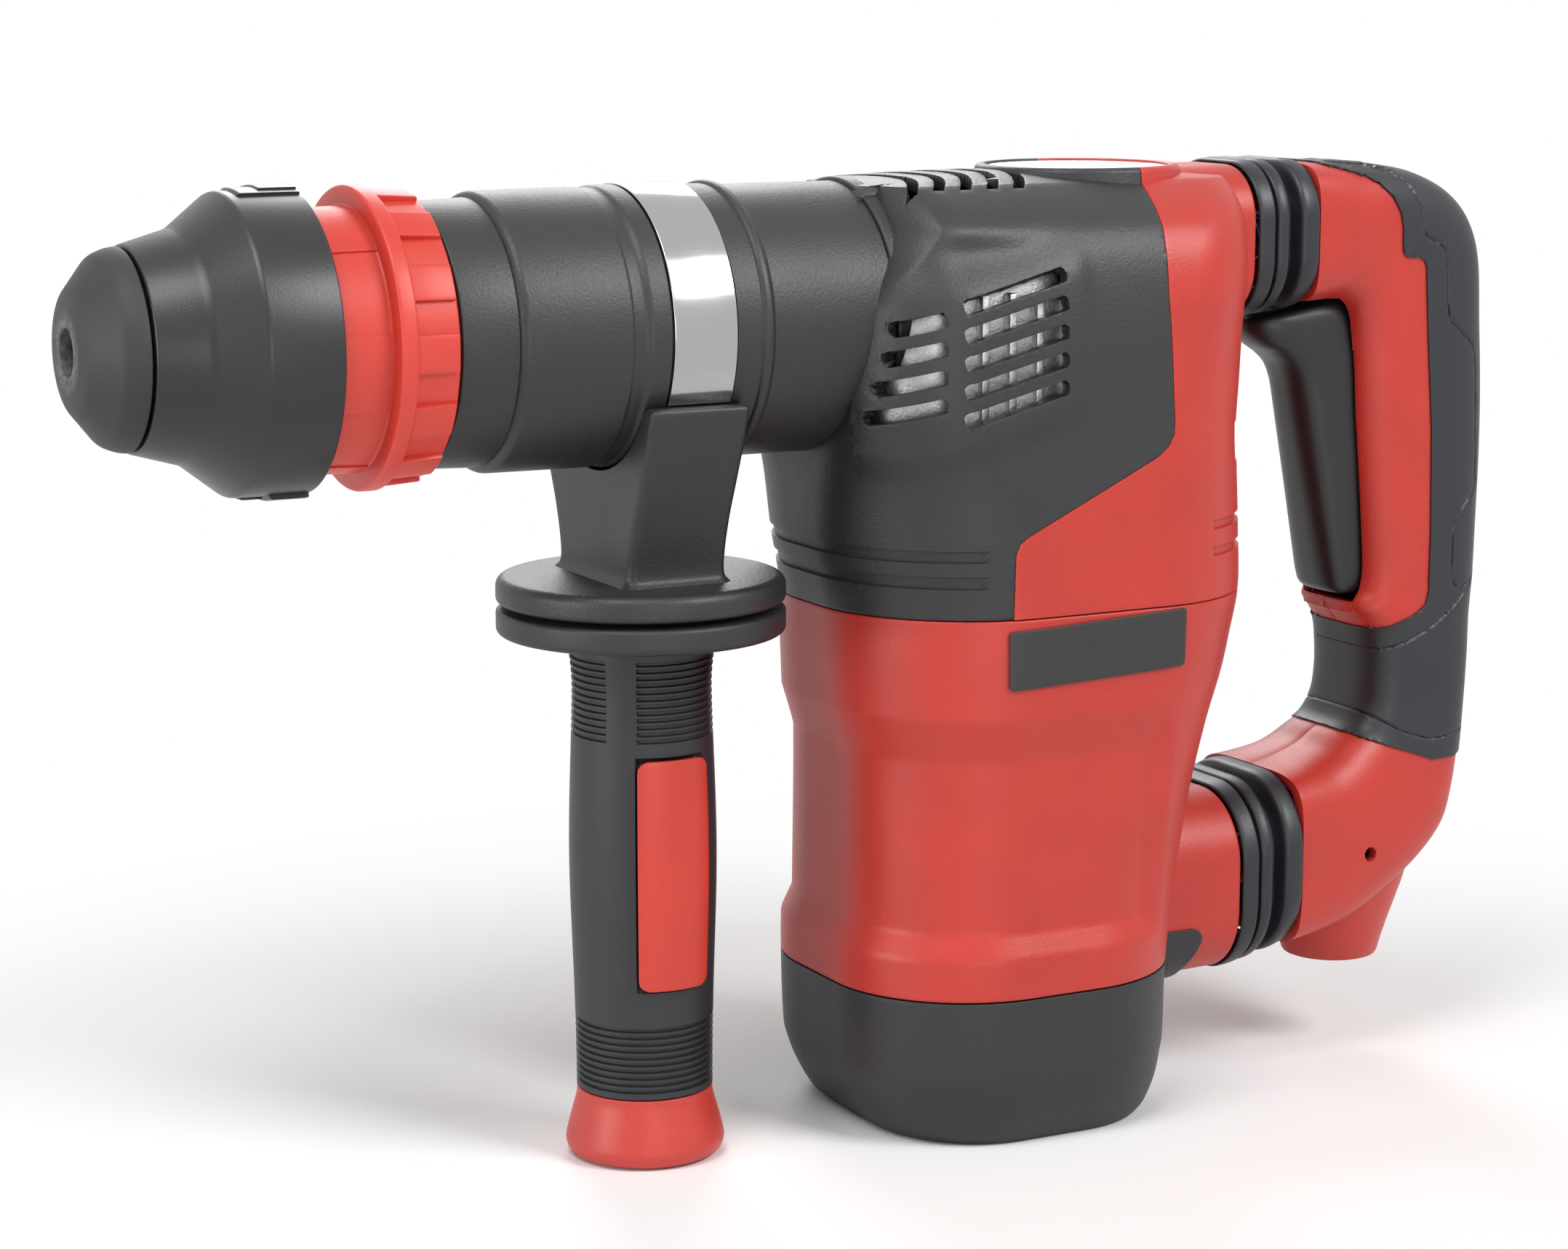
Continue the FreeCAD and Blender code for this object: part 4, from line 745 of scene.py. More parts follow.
def side_at(x, z):
    """The half width of the housing at a place on its side, on the plain form."""
    _, front, rear, half, nose, tail = body_section(z)
    corner = tail if x > 0 else nose
    over = max(x - (rear - tail), (front + nose) - x, 0.0)
    return half - corner + math.sqrt(max(corner ** 2 - over ** 2, 0.0))


for vert in label.verts:
    x = vert.co.x + (LABEL_FRONT + LABEL_REAR) / 2
    z = vert.co.y + (LABEL_LOW + LABEL_HIGH) / 2 + LABEL_SLANT * (x - LABEL_FRONT)
    vert.co = Vector((x, -side_at(x, z) - 0.22, z)) * MM
bmesh.ops.recalc_face_normals(label, faces=label.faces)
walled(piece("label_blank", label, "housing", "label_black", label_dark, "label_plate"), 0.6, 0.15)


# Upper housing and rear cover ----------------------------------------------------------------
# The black upper housing takes the barrel. Its shoulders are scooped away above the side vents,
# five slots cross its top, and behind a swept joint the red cover carries the handle's upper arm.

LID_X = (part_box("crank_lid")[0].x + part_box("crank_lid")[1].x) / 2 / MM
SPLIT = [
    (29.2, 240), (29.2, 224), (27.6, 218), (26.4, 210), (26.0, 200), (26.8, 185), (27.6, 170),
    (27.4, 167), (26.0, 164.5), (23.5, 162.3), (-12.0, 145.8), (-14.2, 144.2), (-15.2, 141.8),
    (-15.4, 120), (90, 120), (90, 240),
]


def eased_ramp(value, start, end):
    """As ramp, with a soft start and end."""
    share = ramp(value, start, end)
    return share * share * (3 - 2 * share)


def within_band(value, low, high, edge):
    """1 between low and high, 0 outside, with straight edges."""
    return ramp(value, low, low + edge) * (1 - ramp(value, high - edge, high))


BLACK_BANDS = ((133.9, 136.9), (140.1, 142.9))
RED_BANDS = ((136.9, 139.2), (143.2, 145.6))
CLIP = (157.3, 167.3)


def shoulder_cut(place):
    """All that is taken off the plain form of the upper housing at a place, inwards."""
    x, y, z = place.x, abs(place.y), place.z
    depth = 0.0
    if 188 < z < 226 and y > 15 and x < 12:
        ridge_x = -30.5 - 10.5 * ramp(-z, -214.5, -203.5)
        low_fade = eased_ramp(z, 197, 206)
        depth += 0.42 * max(ridge_x - x, 0.0) * low_fade
        crease = 214.5 + 4.0 * ramp(x, -12, 6)
        fade = 1 - eased_ramp(x, -30, 8)
        under = 203.0 + 7.0 * ramp(x, -40, 5)
        inwards = eased_ramp(crease - z, -2.0, 4.5)
        outwards = 1 - eased_ramp(crease - z, 4.5, crease - under + 6.0)
        depth += 2.4 * fade * inwards * outwards * eased_ramp(x, -40, -24)
    for low, high in BLACK_BANDS:
        if x < -22.0:
            depth += 0.75 * within_band(z, low, high, 0.25)
    for low, high in RED_BANDS:
        if x > 41.5 and y > 10:
            depth += 0.8 * within_band(z, low, high, 0.25)
    if x > 48 and 12 < y < 31:
        depth += 2.2 * within_band(z, *CLIP, 0.25)
    return depth


def vent_rise(place):
    """The gentle swelling of the side round the vents."""
    x, y, z = place.x, abs(place.y), place.z
    if y < 25:
        return 0.0
    lean = 12 * ramp(x, -38, 2)
    inside = eased_ramp(z, 158 + lean, 165 + lean) * (1 - eased_ramp(z, 198 + lean / 2, 208 + lean / 2))
    return 0.9 * inside * (1 - eased_ramp(x, 1.0, 7.0))


upper_rows = body_rows(BODY_SEAM + SEAM_GAP, 224.4, 0.8)
heights = {round(row[0], 3) for row in upper_rows}
for low, high in (*BLACK_BANDS, *RED_BANDS, CLIP):
    heights |= {low, low + 0.25, high - 0.25, high}
upper_rows = [body_section(height) for height in sorted(heights)]
TOP_X = 9.0
for share in (0.97, 0.9, 0.82, 0.74, 0.66, 0.58, 0.5, 0.42, 0.34, 0.26, 0.18, 0.1):
    _, front, rear, half, nose, tail = body_section(224.4)
    upper_rows.append((224.4 + 2.2 * (1 - share ** 2), TOP_X + (front - TOP_X) * share,
                       TOP_X + (rear - TOP_X) * share, half * share, nose * share, tail * share))


def topped(bm):
    """Closes the upper end of an upright skin and turns its faces outwards."""
    top = [edge for edge in bm.edges if edge.is_boundary and edge.verts[0].co.z > 200 * MM]
    bmesh.ops.holes_fill(bm, edges=top, sides=0)
    bmesh.ops.recalc_face_normals(bm, faces=bm.faces)
    return bm


upper_skin = topped(lofted(upper_rows, body_ring, 320))
sunk(upper_skin, lambda place: shoulder_cut(place) - vent_rise(place))


def inside(x, y, outline):
    """Whether a point lies inside a closed outline."""
    within = False
    for (x1, y1), (x2, y2) in zip(outline, outline[1:] + outline[:1]):
        if (y1 > y) != (y2 > y) and x < x1 + (y - y1) / (y2 - y1) * (x2 - x1):
            within = not within
    return within


def scored(bm, outline, flat, choose, near=1.4, round_again=True):
    """Cuts edges into a skin along an outline drawn on the plane that flat names.

    Vertices close to the line are moved onto it, so that no thin slivers are left beside it.
    """
    first, second = "xyz".index(flat[0]), "xyz".index(flat[1])
    low = [min(corner[axis] for corner in outline) - 3 * near for axis in (0, 1)]
    high = [max(corner[axis] for corner in outline) + 3 * near for axis in (0, 1)]
    nearby = []
    for face in bm.faces:
        centre = face.calc_center_median() / MM
        if low[0] < centre[first] < high[0] and low[1] < centre[second] < high[1] and choose(centre):
            nearby.append(face)
    for start, end in zip(outline, outline[1:] + (outline[:1] if round_again else [])):
        along = Vector((end[0] - start[0], end[1] - start[1]))
        length = along.length
        along.normalize()
        faces = []
        for face in nearby:
            if not face.is_valid:
                continue
            centre = face.calc_center_median() / MM
            away = Vector((centre[first] - start[0], centre[second] - start[1]))
            reach = away.dot(along)
            if -near < reach < length + near and abs(away.x * along.y - away.y * along.x) < near:
                faces.append(face)
        if not faces:
            continue
        edges = list({edge for face in faces for edge in face.edges})
        verts = list({vert for face in faces for vert in face.verts})
        at, normal = Vector((0, 0, 0)), Vector((0, 0, 0))
        at[first], at[second] = start[0] * MM, start[1] * MM
        normal[first], normal[second] = along.y, -along.x
        cut = bmesh.ops.bisect_plane(bm, geom=verts + edges + faces, dist=0.22 * MM, plane_co=at,
                                     plane_no=normal, use_snap_center=True)
        nearby += [part for part in cut["geom"] if isinstance(part, bmesh.types.BMFace)]
        nearby = list(dict.fromkeys(face for face in nearby if face.is_valid))
    return bm


def anywhere(place):
    return True


def opened(bm, outline, flat, choose=anywhere, outside=False):
    """Takes away the faces of a scored skin that lie inside an outline, or outside it."""
    first, second = "xyz".index(flat[0]), "xyz".index(flat[1])
    gone = []
    for face in bm.faces:
        centre = face.calc_center_median() / MM
        if choose(centre) and inside(centre[first], centre[second], outline) != outside:
            gone.append(face)
    bmesh.ops.delete(bm, geom=gone, context="FACES")
    return bm


def slot_outline(length, thick, corner=1.1):
    """The outline of a slot with rounded corners, from its front end, level and at the origin."""
    corners = []
    far, high = length - corner, thick / 2 - corner
    for x, y, start in ((far, -high, -90), (far, high, 0), (corner, high, 90), (corner, -high, 180)):
        for step in range(4):
            turn = math.radians(start + 30 * step)
            corners.append((x + corner * math.cos(turn), y + corner * math.sin(turn)))
    return corners


def round_outline(x, y, radius, count=64):
    """The corners of a round hole."""
    turns = [turn * math.pi / (count // 2) for turn in range(count)]
    return [(x + radius * math.cos(turn), y + radius * math.sin(turn)) for turn in turns]


def leaning(corners, x, z, angle):
    """An outline turned by an angle in degrees and moved to a place."""
    across, up = math.cos(math.radians(angle)), math.sin(math.radians(angle))
    return [(x + a * across - b * up, z + a * up + b * across) for a, b in corners]


vents = [leaning(slot_outline(27.8, 3.5), -28.6, 198.4 - 6.4 * row, 14.2) for row in range(5)]
for row in range(4):
    front = -43.2 - 1.3 * row
    vents.append(leaning(slot_outline(-32.2 - front, 3.5), front, 193.4 - 6.75 * row, 14.0))
SIDES = (lambda place: place.y < -22, lambda place: place.y > 22)
for side in SIDES:
    for vent in vents:
        scored(upper_skin, vent, "xz", side)
        opened(upper_skin, vent, "xz", side)


def on_top(place):
    return place.z > 217.5


LOUVRE_THICK, LOUVRE_HALF, LOUVRE_BOW = 3.1, 25.0, 8.5
for row in range(5):
    front = -34.0 + 7.05 * row
    louvre = []
    for edge, sweep in ((0.0, range(-9, 10)), (LOUVRE_THICK, range(9, -10, -1))):
        for step in sweep:
            y = step / 9 * LOUVRE_HALF
            louvre.append((front + edge + LOUVRE_BOW * (1 - (y / LOUVRE_HALF) ** 2), y))
    scored(upper_skin, louvre, "xy", on_top)
    opened(upper_skin, louvre, "xy", on_top)
lid_hole = round_outline(LID_X, 0, 24.6)
scored(upper_skin, lid_hole, "xy", on_top)
opened(upper_skin, lid_hole, "xy", on_top)
barrel_hole = round_outline(0, AXIS.z / MM, 29.2)
opened(upper_skin, barrel_hole, "yz", lambda place: place.x < -10)
for side in SIDES:
    scored(upper_skin, SPLIT, "xz", side)
scored(upper_skin, SPLIT, "xz", lambda place: abs(place.y) < 22.5 and place.x > 0)

upper_black = moulded("upper_black", (0.017, 0.0175, 0.019), 0.46, 0.00009, 0.0007)
rear_skin = upper_skin.copy()
opened(upper_skin, SPLIT, "xz")
opened(rear_skin, SPLIT, "xz", outside=True)


def closest(here, line):
    """How near an open line comes to a point, where, and the way square to the line there."""
    best = (math.inf, None, None)
    for start, end in zip(line, line[1:]):
        start, along = Vector(start), Vector(end) - Vector(start)
        share = min(max((here - start).dot(along) / along.length_squared, 0), 1)
        there = start + along * share
        if (here - there).length < best[0]:
            best = ((here - there).length, there, Vector((-along.y, along.x)).normalized())
    return best


JOINT_LINE = SPLIT[:14]
for bm, gap in ((upper_skin, 0.0), (rear_skin, 0.2)):
    for vert in bm.verts:
        if vert.is_boundary:
            reach, there, square = closest(Vector((vert.co.x, vert.co.z)) / MM, JOINT_LINE)
            if reach < 1.6:
                place = (there + square * gap) * MM
                vert.co.x, vert.co.z = place.x, place.y
walled(piece("upper_shell", upper_skin, "housing", "black_plastic", upper_black, "upper_housing"),
       3.0, 0.4, 2)
walled(piece("rear_shell", rear_skin, "housing", "red_plastic", body_red, "rear_cover"), 3.0, 0.4, 2)


# Gear case and lid ---------------------------------------------------------------------------
# The bright cast case shows through the vents, with ribs under the slots. Its lid closes the top
# inside a raised ring that is black ahead of the joint and red behind it.

CASE_LOW, CASE_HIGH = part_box("gear_case")[0].z / MM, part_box("gear_case")[1].z / MM
cast_metal = Paint("cast_metal", {"Metallic": 1.0, "Specular IOR Level": 0.5})
grit = cast_metal.noise(0.0007, 4.0)
stain = cast_metal.noise(0.012, 3.0)
cast_metal.feed("Base Color", cast_metal.between(stain, (0.42, 0.42, 0.43), (0.72, 0.72, 0.73)))
cast_metal.feed("Roughness", grit * 0.25 + 0.30)
cast_metal.bump(grit, 0.00010)
INSET = 5.6
case_rows = [(height, front + INSET, *(measure - INSET for measure in rest))
             for height, front, *rest in body_rows(CASE_LOW, 215.0, 1.6)]
case_skin = topped(lofted(case_rows, body_ring, 160))
sunk(case_skin, shoulder_cut)
opened(case_skin, barrel_hole, "yz", lambda place: place.x < -10)
case_mouth = round_outline(LID_X, 0, 20)
scored(case_skin, case_mouth, "xy", lambda place: place.z > 214)
opened(case_skin, case_mouth, "xy", lambda place: place.z > 214)
walled(piece("case_shell", case_skin, "housing", "cast_aluminium", cast_metal, "gear_case"), 2.2, 0.5, 2)
LID_CENTRE = Vector((LID_X * MM, 0, 0))
piece("case_neck", turned([
    (214.0, 20.2), (CASE_HIGH, 20.2), (CASE_HIGH, 24.4), (214.0, 24.4),
], LID_CENTRE, UP, 96), "housing", "cast_aluminium", cast_metal)
for hand in (-1, 1):
    for row in range(6):
        rib = bmesh.new()
        bmesh.ops.create_cube(rib, size=1)
        bmesh.ops.scale(rib, vec=(2.2 * MM, 3.2 * MM, 34 * MM), verts=rib.verts)
        rounded(rib, rib.edges[:], 0.6 * MM, 2)
        place = Vector((-28 + 7.2 * row, hand * 37.6, 184))
        bmesh.ops.translate(rib, vec=place * MM, verts=rib.verts)
        piece(f"case_rib_{hand + 1}_{row}", rib, "housing", "cast_aluminium", cast_metal)

LID_RADIUS = (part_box("crank_lid")[1].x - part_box("crank_lid")[0].x) / 2 / MM
LID_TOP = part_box("crank_lid")[1].z / MM - 1.3
lid_metal = Paint("lid_metal", {"Metallic": 1.0})
centre_away = lid_metal.node("ShaderNodeVectorMath", {"operation": "DISTANCE"},
                             {0: lid_metal.place, 1: (LID_X * MM, 0, LID_TOP * MM)}, "Value")
turning = grow(lid_metal.tree, "ShaderNodeMath", {"operation": "SINE"}, {0: centre_away * 21000.0})
haze = lid_metal.noise(0.006, 3.0)
lid_metal.feed("Base Color", lid_metal.between(haze, (0.66, 0.66, 0.67), (0.80, 0.80, 0.80)))
lid_metal.feed("Roughness", haze * 0.12 + 0.20)
lid_metal.bump(turning, 0.000006)
plate = turned([
    (LID_TOP - 2.2, 0), (LID_TOP - 2.2, LID_RADIUS - 0.1), (LID_TOP, LID_RADIUS - 0.1, 0.5), (LID_TOP, 0),
], LID_CENTRE, UP, 128)
for hand in (-1, 1):
    pin = bmesh.new()
    bmesh.ops.create_cone(pin, cap_ends=True, segments=28, radius1=1.6 * MM, radius2=1.6 * MM,
                          depth=4 * MM)
    bmesh.ops.translate(pin, vec=Vector((LID_X + hand * 12, 0, LID_TOP + 0.6)) * MM, verts=pin.verts)
    plate = carved(plate, pin)
piece("lid_plate", plate, "housing", "lid_metal", lid_metal, "crank_lid")
JOINT_TURN = math.acos((SPLIT[0][0] - LID_X) / 23.5)
for name, start, sweep, slot, paint in (
        ("lid_ring_rear", -JOINT_TURN + 0.008, 2 * JOINT_TURN - 0.016, "red_plastic", body_red),
        ("lid_ring_front", JOINT_TURN + 0.004, 2 * math.pi - 2 * JOINT_TURN - 0.008, "black_plastic",
         upper_black)):
    bm = turned([
        (216.0, 22.0), (LID_TOP + 0.5, 21.9, 0.5), (LID_TOP + 0.5, 24.4, 1.2), (216.0, 25.6),
    ], LID_CENTRE, UP, 96, sweep, start)
    piece(name, bm, "housing", slot, paint, *(["lid_ring"] if name == "lid_ring_front" else []))
piece("barrel_lip", turned([
    (JOINT_X, 30.0), (-36.0, 30.0), (-36.0, 32.0), (JOINT_X, 32.0, 0.7),
]), "housing", "black_plastic", upper_black)


# Lower arm, tang and bellows -----------------------------------------------------------------
# A stout red arm leaves the housing low down, with the cap's tang wrapped under it. Two soft
# bellows bridge the gaps where the rear handle gives under the push of the hand.

def beam_ring(section, share):
    """A rounded rectangle across the tool: along, half width, low, high, corner."""
    along, half, low, high, corner = section
    y, z = round_box(share, half, (high - low) / 2, corner)
    return Vector((along, y, (low + high) / 2 + z))


ARM_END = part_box("lower_arm")[1].x / MM
arm_rows = [(20 + (ARM_END - 20) * step / 44, 23.0 + step / 44, 25.4 + 1.4 * step / 44,
             72.0 + 0.4 * step / 44, 17.0) for step in range(45)]
walled(piece("arm_shell", lofted(arm_rows, beam_ring, 144), "housing", "red_plastic", body_red,
             "lower_arm"), 3.0, 0.7)
STUB_END = 66.0
stub_rows = [(48 + (STUB_END - 48) * step / 20, 18.8 + 0.5 * step / 20, 190.2 - 0.4 * step / 20,
              226.3 + 0.2 * step / 20, 13.0) for step in range(21)]
walled(piece("arm_stub", lofted(stub_rows, beam_ring, 144), "housing", "red_plastic", body_red), 3.0, 0.7)
tang_rows = [(30 + 23 * step / 30, 24.1, 25.0, 73.4, 17.6) for step in range(31)]
tang = lofted(tang_rows, beam_ring, 144)
bmesh.ops.recalc_face_normals(tang, faces=tang.faces)


def on_left(place):
    return place.y < 0


def on_right(place):
    return place.y > 0


TANG = [
    (28, 41.2), (48.6, 41.2), (50.6, 40.4), (51.7, 38.6), (51.5, 36.4), (50.4, 33.0), (49.0, 29.0),
    (47.5, 20), (28, 20),
]
for side in (on_left, on_right):
    scored(tang, TANG, "xz", side)
opened(tang, TANG, "xz", outside=True)
walled(piece("cap_tang", tang, "housing", "black_plastic", cap_black), 1.4, 0.5)

bellows_soft = moulded("bellows_soft", (0.011, 0.013, 0.017), 0.42, 0.00003)
BELLOWS = [
    (0.0, 0.3), (0.03, 0.9), (0.20, 1.2), (0.235, 1.0), (0.25, -0.2), (0.29, -0.2), (0.305, 0.9),
    (0.40, 1.3), (0.47, 1.0), (0.505, -0.6), (0.57, -2.6), (0.63, -2.8), (0.67, -1.2), (0.70, 0.7),
    (0.78, 1.3), (0.93, 1.1), (0.98, 0.8), (1.0, 0.2),
]
for name, node, front, rear in (
        ("bellows_low", "lower_bellows", (23.8, 27.0, 72.2, 17.0), (24.0, 31.2, 74.3, 17.0)),
        ("bellows_high", "upper_bellows", (19.0, 190.2, 226.4, 13.0), (19.4, 192.6, 226.3, 12.5))):
    low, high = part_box(node)
    start, end = low.x / MM + 0.05, high.x / MM - 0.05
    rows = []
    for share, swell in eased(BELLOWS, 3):
        half, under, over, corner = (a + (b - a) * share for a, b in zip(front, rear))
        rows.append((start + (end - start) * share, half + swell, under - swell, over + swell,
                     corner + swell))
    made = piece(name, lofted(rows, beam_ring, 160), None, "soft_black", bellows_soft, node, crease=40)
    walled(made, 1.6, 0.3, 2)
    height = (low.z + high.z) / 2
    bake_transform(made)


# Rear handle ---------------------------------------------------------------------------------
# Two red shells meet on the middle plane and close round the switch. Black soft cover wraps the
# back and the lower grip, with grooves along its panels, and a cone leads the cable out below.

HANDLE = [
    ((84.6, 192.5), (84.6, 226.5), 19.5), ((90.0, 192.7), (91.0, 226.3), 19.2),
    ((95.5, 192.6), (98.5, 226.0), 18.7), ((98.6, 190.8), (108.5, 225.2), 18.0),
    ((99.8, 187.5), (119.5, 223.2), 17.5), ((100.3, 183.5), (129.5, 218.7), 17.2),
    ((100.9, 178.0), (136.2, 212.0), 17.0), ((101.4, 172.0), (139.6, 202.5), 17.0),
    ((101.9, 164.0), (140.6, 187.0), 17.0), ((102.7, 156.0), (141.5, 170.0), 17.0),
    ((103.7, 146.0), (141.7, 153.0), 17.0), ((104.8, 134.0), (141.2, 135.0), 17.0),
    ((105.4, 125.0), (140.8, 122.0), 17.0), ((104.6, 119.6), (140.4, 115.8), 17.0),
    ((102.8, 116.6), (140.2, 111.6), 17.0), ((102.8, 114.8), (140.1, 109.2), 17.0),
    ((105.0, 112.0), (139.9, 105.4), 17.0), ((107.2, 108.4), (139.7, 101.0), 17.0),
    ((108.0, 103.0), (139.3, 93.0), 17.0), ((108.2, 97.0), (138.8, 85.0), 17.0),
    ((107.4, 90.5), (137.9, 75.0), 17.3), ((104.4, 85.2), (136.0, 64.5), 18.0),
    ((99.5, 82.0), (132.6, 56.0), 19.4), ((95.6, 79.4), (125.0, 48.4), 20.8),
    ((91.0, 77.6), (114.0, 41.0), 22.0), ((86.0, 76.0), (99.0, 34.6), 23.0),
    ((81.2, 75.0), (81.2, 31.4), 23.7),
]
rows = [(*inner, *outer, half, 3.6, 3.6) for inner, outer, half in HANDLE]
for index, squareness in ((0, 5.0), (1, 4.4), (-1, 5.0), (-2, 4.4)):
    rows[index] = (*rows[index][:5], squareness, squareness)


def handle_ring(grow_by):
    """The ring of the handle between its inner and outer lines, swollen by some millimetres."""
    def ring(section, share):
        inner = Vector((section[0], 0, section[1]))
        outer = Vector((section[2], 0, section[3]))
        reach = (outer - inner) / 2
        turn = share * 2 * math.pi
        across, along = superellipse(turn, section[5] if math.sin(turn) < 0 else section[6])
        out = reach * (1 + grow_by / reach.length) * along
        return (inner + outer) / 2 + out + Vector((0, (section[4] + grow_by) * across, 0))
    return ring


TRIGGER_HALF = (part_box("trigger")[1].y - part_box("trigger")[0].y) / 2 / MM
handle_skin = lofted(eased(rows, 11), handle_ring(0.0), 192)
bmesh.ops.recalc_face_normals(handle_skin, faces=handle_skin.faces)
gate = TRIGGER_HALF + 0.6
MOUTH = [(-gate, 116.2), (gate, 116.2), (gate, 192.9), (-gate, 192.9)]


def on_palm_side(place):
    return place.x < 109 and 114 < place.z < 194


scored(handle_skin, MOUTH, "yz", on_palm_side)
opened(handle_skin, MOUTH, "yz", on_palm_side)
for x, z, side in ((103.0, 53.5, on_left), (112.0, 208.0, on_right), (91.0, 36.5, on_right)):
    screw_mouth = round_outline(x, z, 1.9, 16)
    scored(handle_skin, screw_mouth, "xz", side)
    opened(handle_skin, screw_mouth, "xz", side)
geom = handle_skin.verts[:] + handle_skin.edges[:] + handle_skin.faces[:]
bmesh.ops.bisect_plane(handle_skin, geom=geom, dist=0.1 * MM, plane_co=Vector((0, 0, 0)),
                       plane_no=Vector((0, 1, 0)), use_snap_center=True)
for name, choose, hand, node in (("left", on_left, -1, "handle_shell_left"),
                                 ("right", on_right, 1, "handle_shell_right")):
    half = handle_skin.copy()
    gone = [face for face in half.faces if not choose(face.calc_center_median())]
    bmesh.ops.delete(half, geom=gone, context="FACES")
    for vert in half.verts:
        if abs(vert.co.y) < 1e-6:
            vert.co.y = 0.09 * hand * MM
    walled(piece(f"shell_{name}", half, "rear_handle", "red_plastic", body_red, node), 2.8, 0.35, 2)
handle_skin.free()

COVER = [
    (88, 240), (90.3, 226.3), (100.4, 223.5), (104.4, 221.2), (107.7, 218.0), (110.0, 214.0),
    (110.8, 210.0), (110.9, 205.4), (111.5, 203.6), (113.0, 202.9), (116.6, 202.6), (118.0, 201.8),
    (118.6, 200.0), (119.7, 184.1), (121.7, 158.8), (122.4, 133.3), (122.3, 118.5), (121.6, 115.4),
    (118.8, 113.1), (109.5, 109.6), (104.0, 109.2), (100.3, 109.6), (90, 112.5), (90, 88.5),
    (99.0, 84.8), (103.5, 82.7), (112.0, 79.5), (124.9, 75.0), (132.5, 75.0), (139.0, 76.6),
    (150, 79), (150, 240),
]
GROOVES = [
    [(93.5, 226.6), (98.6, 226.1), (105.6, 225.4), (109.2, 224.2), (112.8, 221.0), (115.2, 218.0),
     (116.6, 214.6), (117.3, 209.4), (118.3, 207.8), (122.6, 206.0), (124.2, 204.6), (125.0, 200.7),
     (125.9, 188.4), (126.8, 186.4), (134.0, 180.6), (135.2, 178.6), (136.2, 165.0), (137.0, 144.6),
     (136.0, 142.4), (130.6, 137.4), (129.5, 135.0), (129.5, 122.6), (130.4, 119.6), (132.3, 118.5),
     (135.4, 119.4), (138.8, 121.6)],
    [(101.5, 91.6), (107.6, 87.4), (115.0, 83.2), (123.0, 80.6), (128.0, 80.4), (134.8, 81.6)],
    [(101.5, 104.0), (106.0, 103.8), (111.1, 104.5), (117.0, 106.4), (123.5, 109.3), (130.0, 113.6),
     (137.0, 119.0)],
]
cover_soft = moulded("cover_soft", (0.014, 0.016, 0.020), 0.44, 0.00005, 0.0006)
GROW = 0.5
cover_skin = lofted(eased(rows, 11), handle_ring(GROW), 192)
bmesh.ops.recalc_face_normals(cover_skin, faces=cover_skin.faces)
scored(cover_skin, COVER, "xz", on_left)
scored(cover_skin, COVER, "xz", on_right)
opened(cover_skin, COVER, "xz", outside=True)


def beside(line, offset):
    """An open line moved sideways by an offset."""
    moved = []
    for index, corner in enumerate(line):
        before = Vector(line[max(index - 1, 0)])
        after = Vector(line[min(index + 1, len(line) - 1)])
        along = (after - before).normalized()
        moved.append((corner[0] - along.y * offset, corner[1] + along.x * offset))
    return moved


def distance(x, z, line):
    """How far a point lies from an open line."""
    best = 99.0
    for start, end in zip(line, line[1:]):
        along = Vector((end[0] - start[0], end[1] - start[1]))
        away = Vector((x - start[0], z - start[1]))
        share = min(max(away.dot(along) / along.length_squared, 0), 1)
        best = min(best, (away - along * share).length)
    return best


for side in (on_left, on_right):
    for line in GROOVES:
        for offset in (-0.55, 0.0, 0.55):
            scored(cover_skin, beside(line, offset), "xz", side, round_again=False)
cover_skin.normal_update()
for vert in cover_skin.verts:
    x, z = vert.co.x / MM, vert.co.z / MM
    if min(distance(x, z, line) for line in GROOVES) < 0.12:
        vert.co -= vert.normal * 0.42 * MM
walled(piece("soft_cover", cover_skin, "rear_handle", "soft_black", cover_soft, "grip_cover", crease=40),
       0.9, 0.3, 2)


# Trigger and cable spout ---------------------------------------------------------------------
# The long trigger fills the front of the grip and ends in a hooked nose at the top. Below, the
# spout is a cone under the handle's lower end, with the hole for the cable.

trigger_black = moulded("trigger_black", (0.011, 0.0115, 0.013), 0.38, 0.00003, 0.0005)
TRIGGER = [
    ((82.6, 190.2), (97.6, 193.4), 5.0), ((78.6, 189.6), (100.1, 192.4), 8.0),
    ((75.8, 188.4), (102.1, 190.8), 9.2), ((75.0, 186.8), (103.2, 188.8), 9.8),
    ((75.7, 184.2), (104.1, 186.4), 10.0), ((78.2, 181.5), (104.8, 183.6), 10.0),
    ((82.1, 179.0), (105.4, 181.0), 10.0), ((85.2, 176.2), (106.0, 178.0), 10.0),
    ((87.1, 172.4), (106.5, 174.0), 10.0), ((88.2, 168.0), (107.0, 169.4), 10.0),
    ((89.4, 162.0), (107.7, 163.0), 10.0), ((93.3, 143.2), (108.4, 144.6), 10.0),
    ((96.8, 126.4), (108.4, 127.4), 10.0), ((97.9, 121.7), (108.4, 122.5), 9.9),
    ((98.8, 119.4), (108.4, 119.9), 9.5), ((100.6, 118.1), (108.4, 118.4), 8.4),
    ((103.7, 117.6), (108.4, 117.7), 5.0),
]
blade_rows = eased([(*front, *back, half - 0.1, 2.7, 7.0) for front, back, half in TRIGGER], 7)
piece("trigger_blade", closed(lofted(blade_rows, handle_ring(0.0), 128)), "trigger", "trigger_black",
      trigger_black, "trigger", crease=50)
tab = bmesh.new()
bmesh.ops.create_cube(tab, size=1)
bmesh.ops.scale(tab, vec=Vector((7.6, 10.0, 10.0)) * MM, verts=tab.verts)
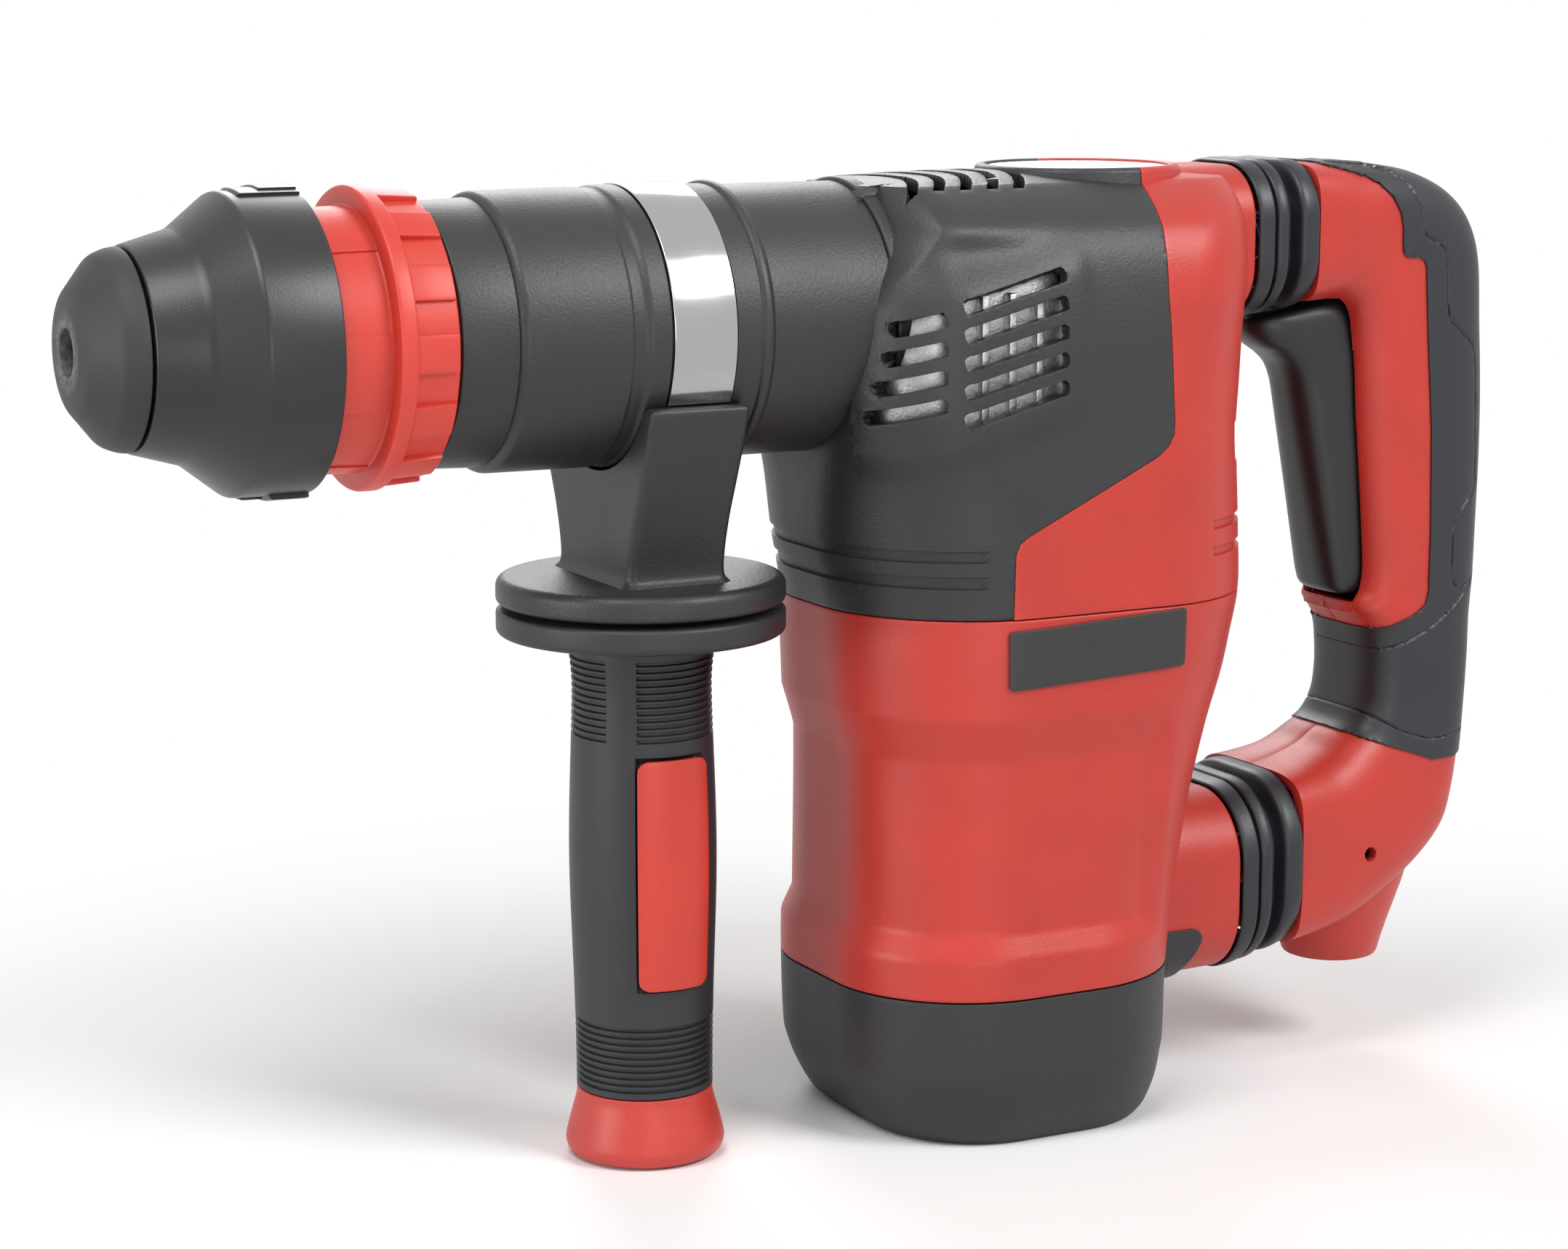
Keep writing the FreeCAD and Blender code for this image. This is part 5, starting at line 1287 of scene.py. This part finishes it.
bmesh.ops.translate(tab, vec=Vector((97.0, 0, 195.5)) * MM, verts=tab.verts)
rounded(tab, tab.edges[:], 1.0 * MM, 3)
piece("trigger_tab", tab, "trigger", "trigger_black", trigger_black)

SPOUT_X = (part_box("cable_spout")[0].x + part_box("cable_spout")[1].x) / 2 / MM
SPOUT_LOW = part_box("cable_spout")[0].z / MM


def spout_ring(section, share):
    """A ring of the spout: height, middle, half width along and half width across."""
    height, middle, along, across = section
    turn = share * 2 * math.pi
    return Vector((middle + along * math.cos(turn), across * math.sin(turn), height))


SPOUT = [
    (9.0, 0, 4.5, 4.5), (0.8, 0, 4.5, 4.5), (0.2, 0, 4.9, 4.9), (0, 0, 5.5, 5.5), (0, 0, 11.3, 11.3),
    (0.25, 0, 11.9, 11.9), (0.9, 0, 12.3, 12.3), (4.5, 0.1, 13.4, 12.9), (9.0, 0.2, 15.0, 13.8),
    (14.0, 0.4, 16.8, 14.9), (19.0, 0.6, 18.6, 16.0), (24.0, 0.8, 20.2, 16.6),
]
spout_rows = [(SPOUT_LOW + rise, SPOUT_X + shift, *halves) for rise, shift, *halves in SPOUT]
piece("spout_cone", closed(lofted(spout_rows, spout_ring, 96)), "rear_handle", "red_plastic", body_red,
      "cable_spout")


# Finishes of the parts inside ----------------------------------------------------------------
# What is still shown of the solid parts gets its real finish: turned steel, stacked laminations,
# enamelled copper, brass, carbon and plastic.

def metal(name, dark, light, roughness, line, stretch, depth=0.00001):
    """Bare metal with fine machining lines that run the way that stretch leaves long."""
    paint = Paint(name, {"Metallic": 1.0})
    lines = paint.noise(line, 3.0, stretch)
    film = paint.noise(0.009, 4.0)
    paint.feed("Base Color", paint.between(lines * 0.4 + film * 0.6, dark, light))
    paint.feed("Roughness", film * 0.18 + lines * 0.10 + (roughness - 0.14))
    paint.bump(lines, depth)
    return paint


def ranked(name, dark, light, roughness, metallic, pitch, axis):
    """Thin layers or turns of wire, one beside the other along an axis."""
    paint = Paint(name, {"Metallic": metallic})
    apart = paint.node("ShaderNodeSeparateXYZ", {}, {0: paint.place}, axis)
    wave = grow(paint.tree, "ShaderNodeMath", {"operation": "SINE"}, {0: apart * (2 * math.pi / pitch)})
    film = paint.noise(0.004, 3.0)
    shade = paint.band(wave, -1.0, 0.2) * 0.7 + film * 0.3
    paint.feed("Base Color", paint.between(shade, dark, light))
    paint.feed("Roughness", film * 0.15 + (roughness - 0.07))
    paint.bump(wave, 0.00008)
    return paint


STEEL_DARK, STEEL_LIGHT = (0.34, 0.34, 0.35), (0.62, 0.62, 0.63)
inner_finish = {
    "machined_steel": metal("machined_steel", STEEL_DARK, STEEL_LIGHT, 0.30, 0.0005, (30, 1, 1)),
    "screw_steel": metal("screw_steel", (0.22, 0.22, 0.23), (0.44, 0.44, 0.45), 0.36, 0.0004,
                         (1, 1, 1)),
    "spring_steel": metal("spring_steel", (0.25, 0.25, 0.26), (0.50, 0.50, 0.52), 0.28, 0.0004,
                          (1, 1, 6)),
    "cast_aluminium": cast_metal,
    "lid_metal": lid_metal,
    "laminated_steel": ranked("laminated_steel", (0.05, 0.05, 0.055), (0.30, 0.30, 0.31), 0.45, 0.9,
                              0.0008, "Z"),
    "copper_wire": ranked("copper_wire", (0.16, 0.035, 0.012), (0.55, 0.17, 0.06), 0.32, 0.9,
                          0.0009, "X"),
    "brass_fitting": metal("brass_fitting", (0.42, 0.28, 0.08), (0.70, 0.50, 0.18), 0.30, 0.0005, (1, 1, 20)),
    "carbon": moulded("carbon", (0.022, 0.022, 0.023), 0.65, 0.00005),
    "black_plastic": moulded("inner_black", (0.030, 0.030, 0.032), 0.52, 0.00003),
    "soft_black": cover_soft,
    "red_plastic": body_red,
}
for subpart in frame["record"]["subparts"]:
    solid = frame["nodes"][subpart["node"]]
    if not solid.hide_render:
        solid.data.materials.clear()
        solid.data.materials.append(inner_finish[subpart["material_slot"]].material)
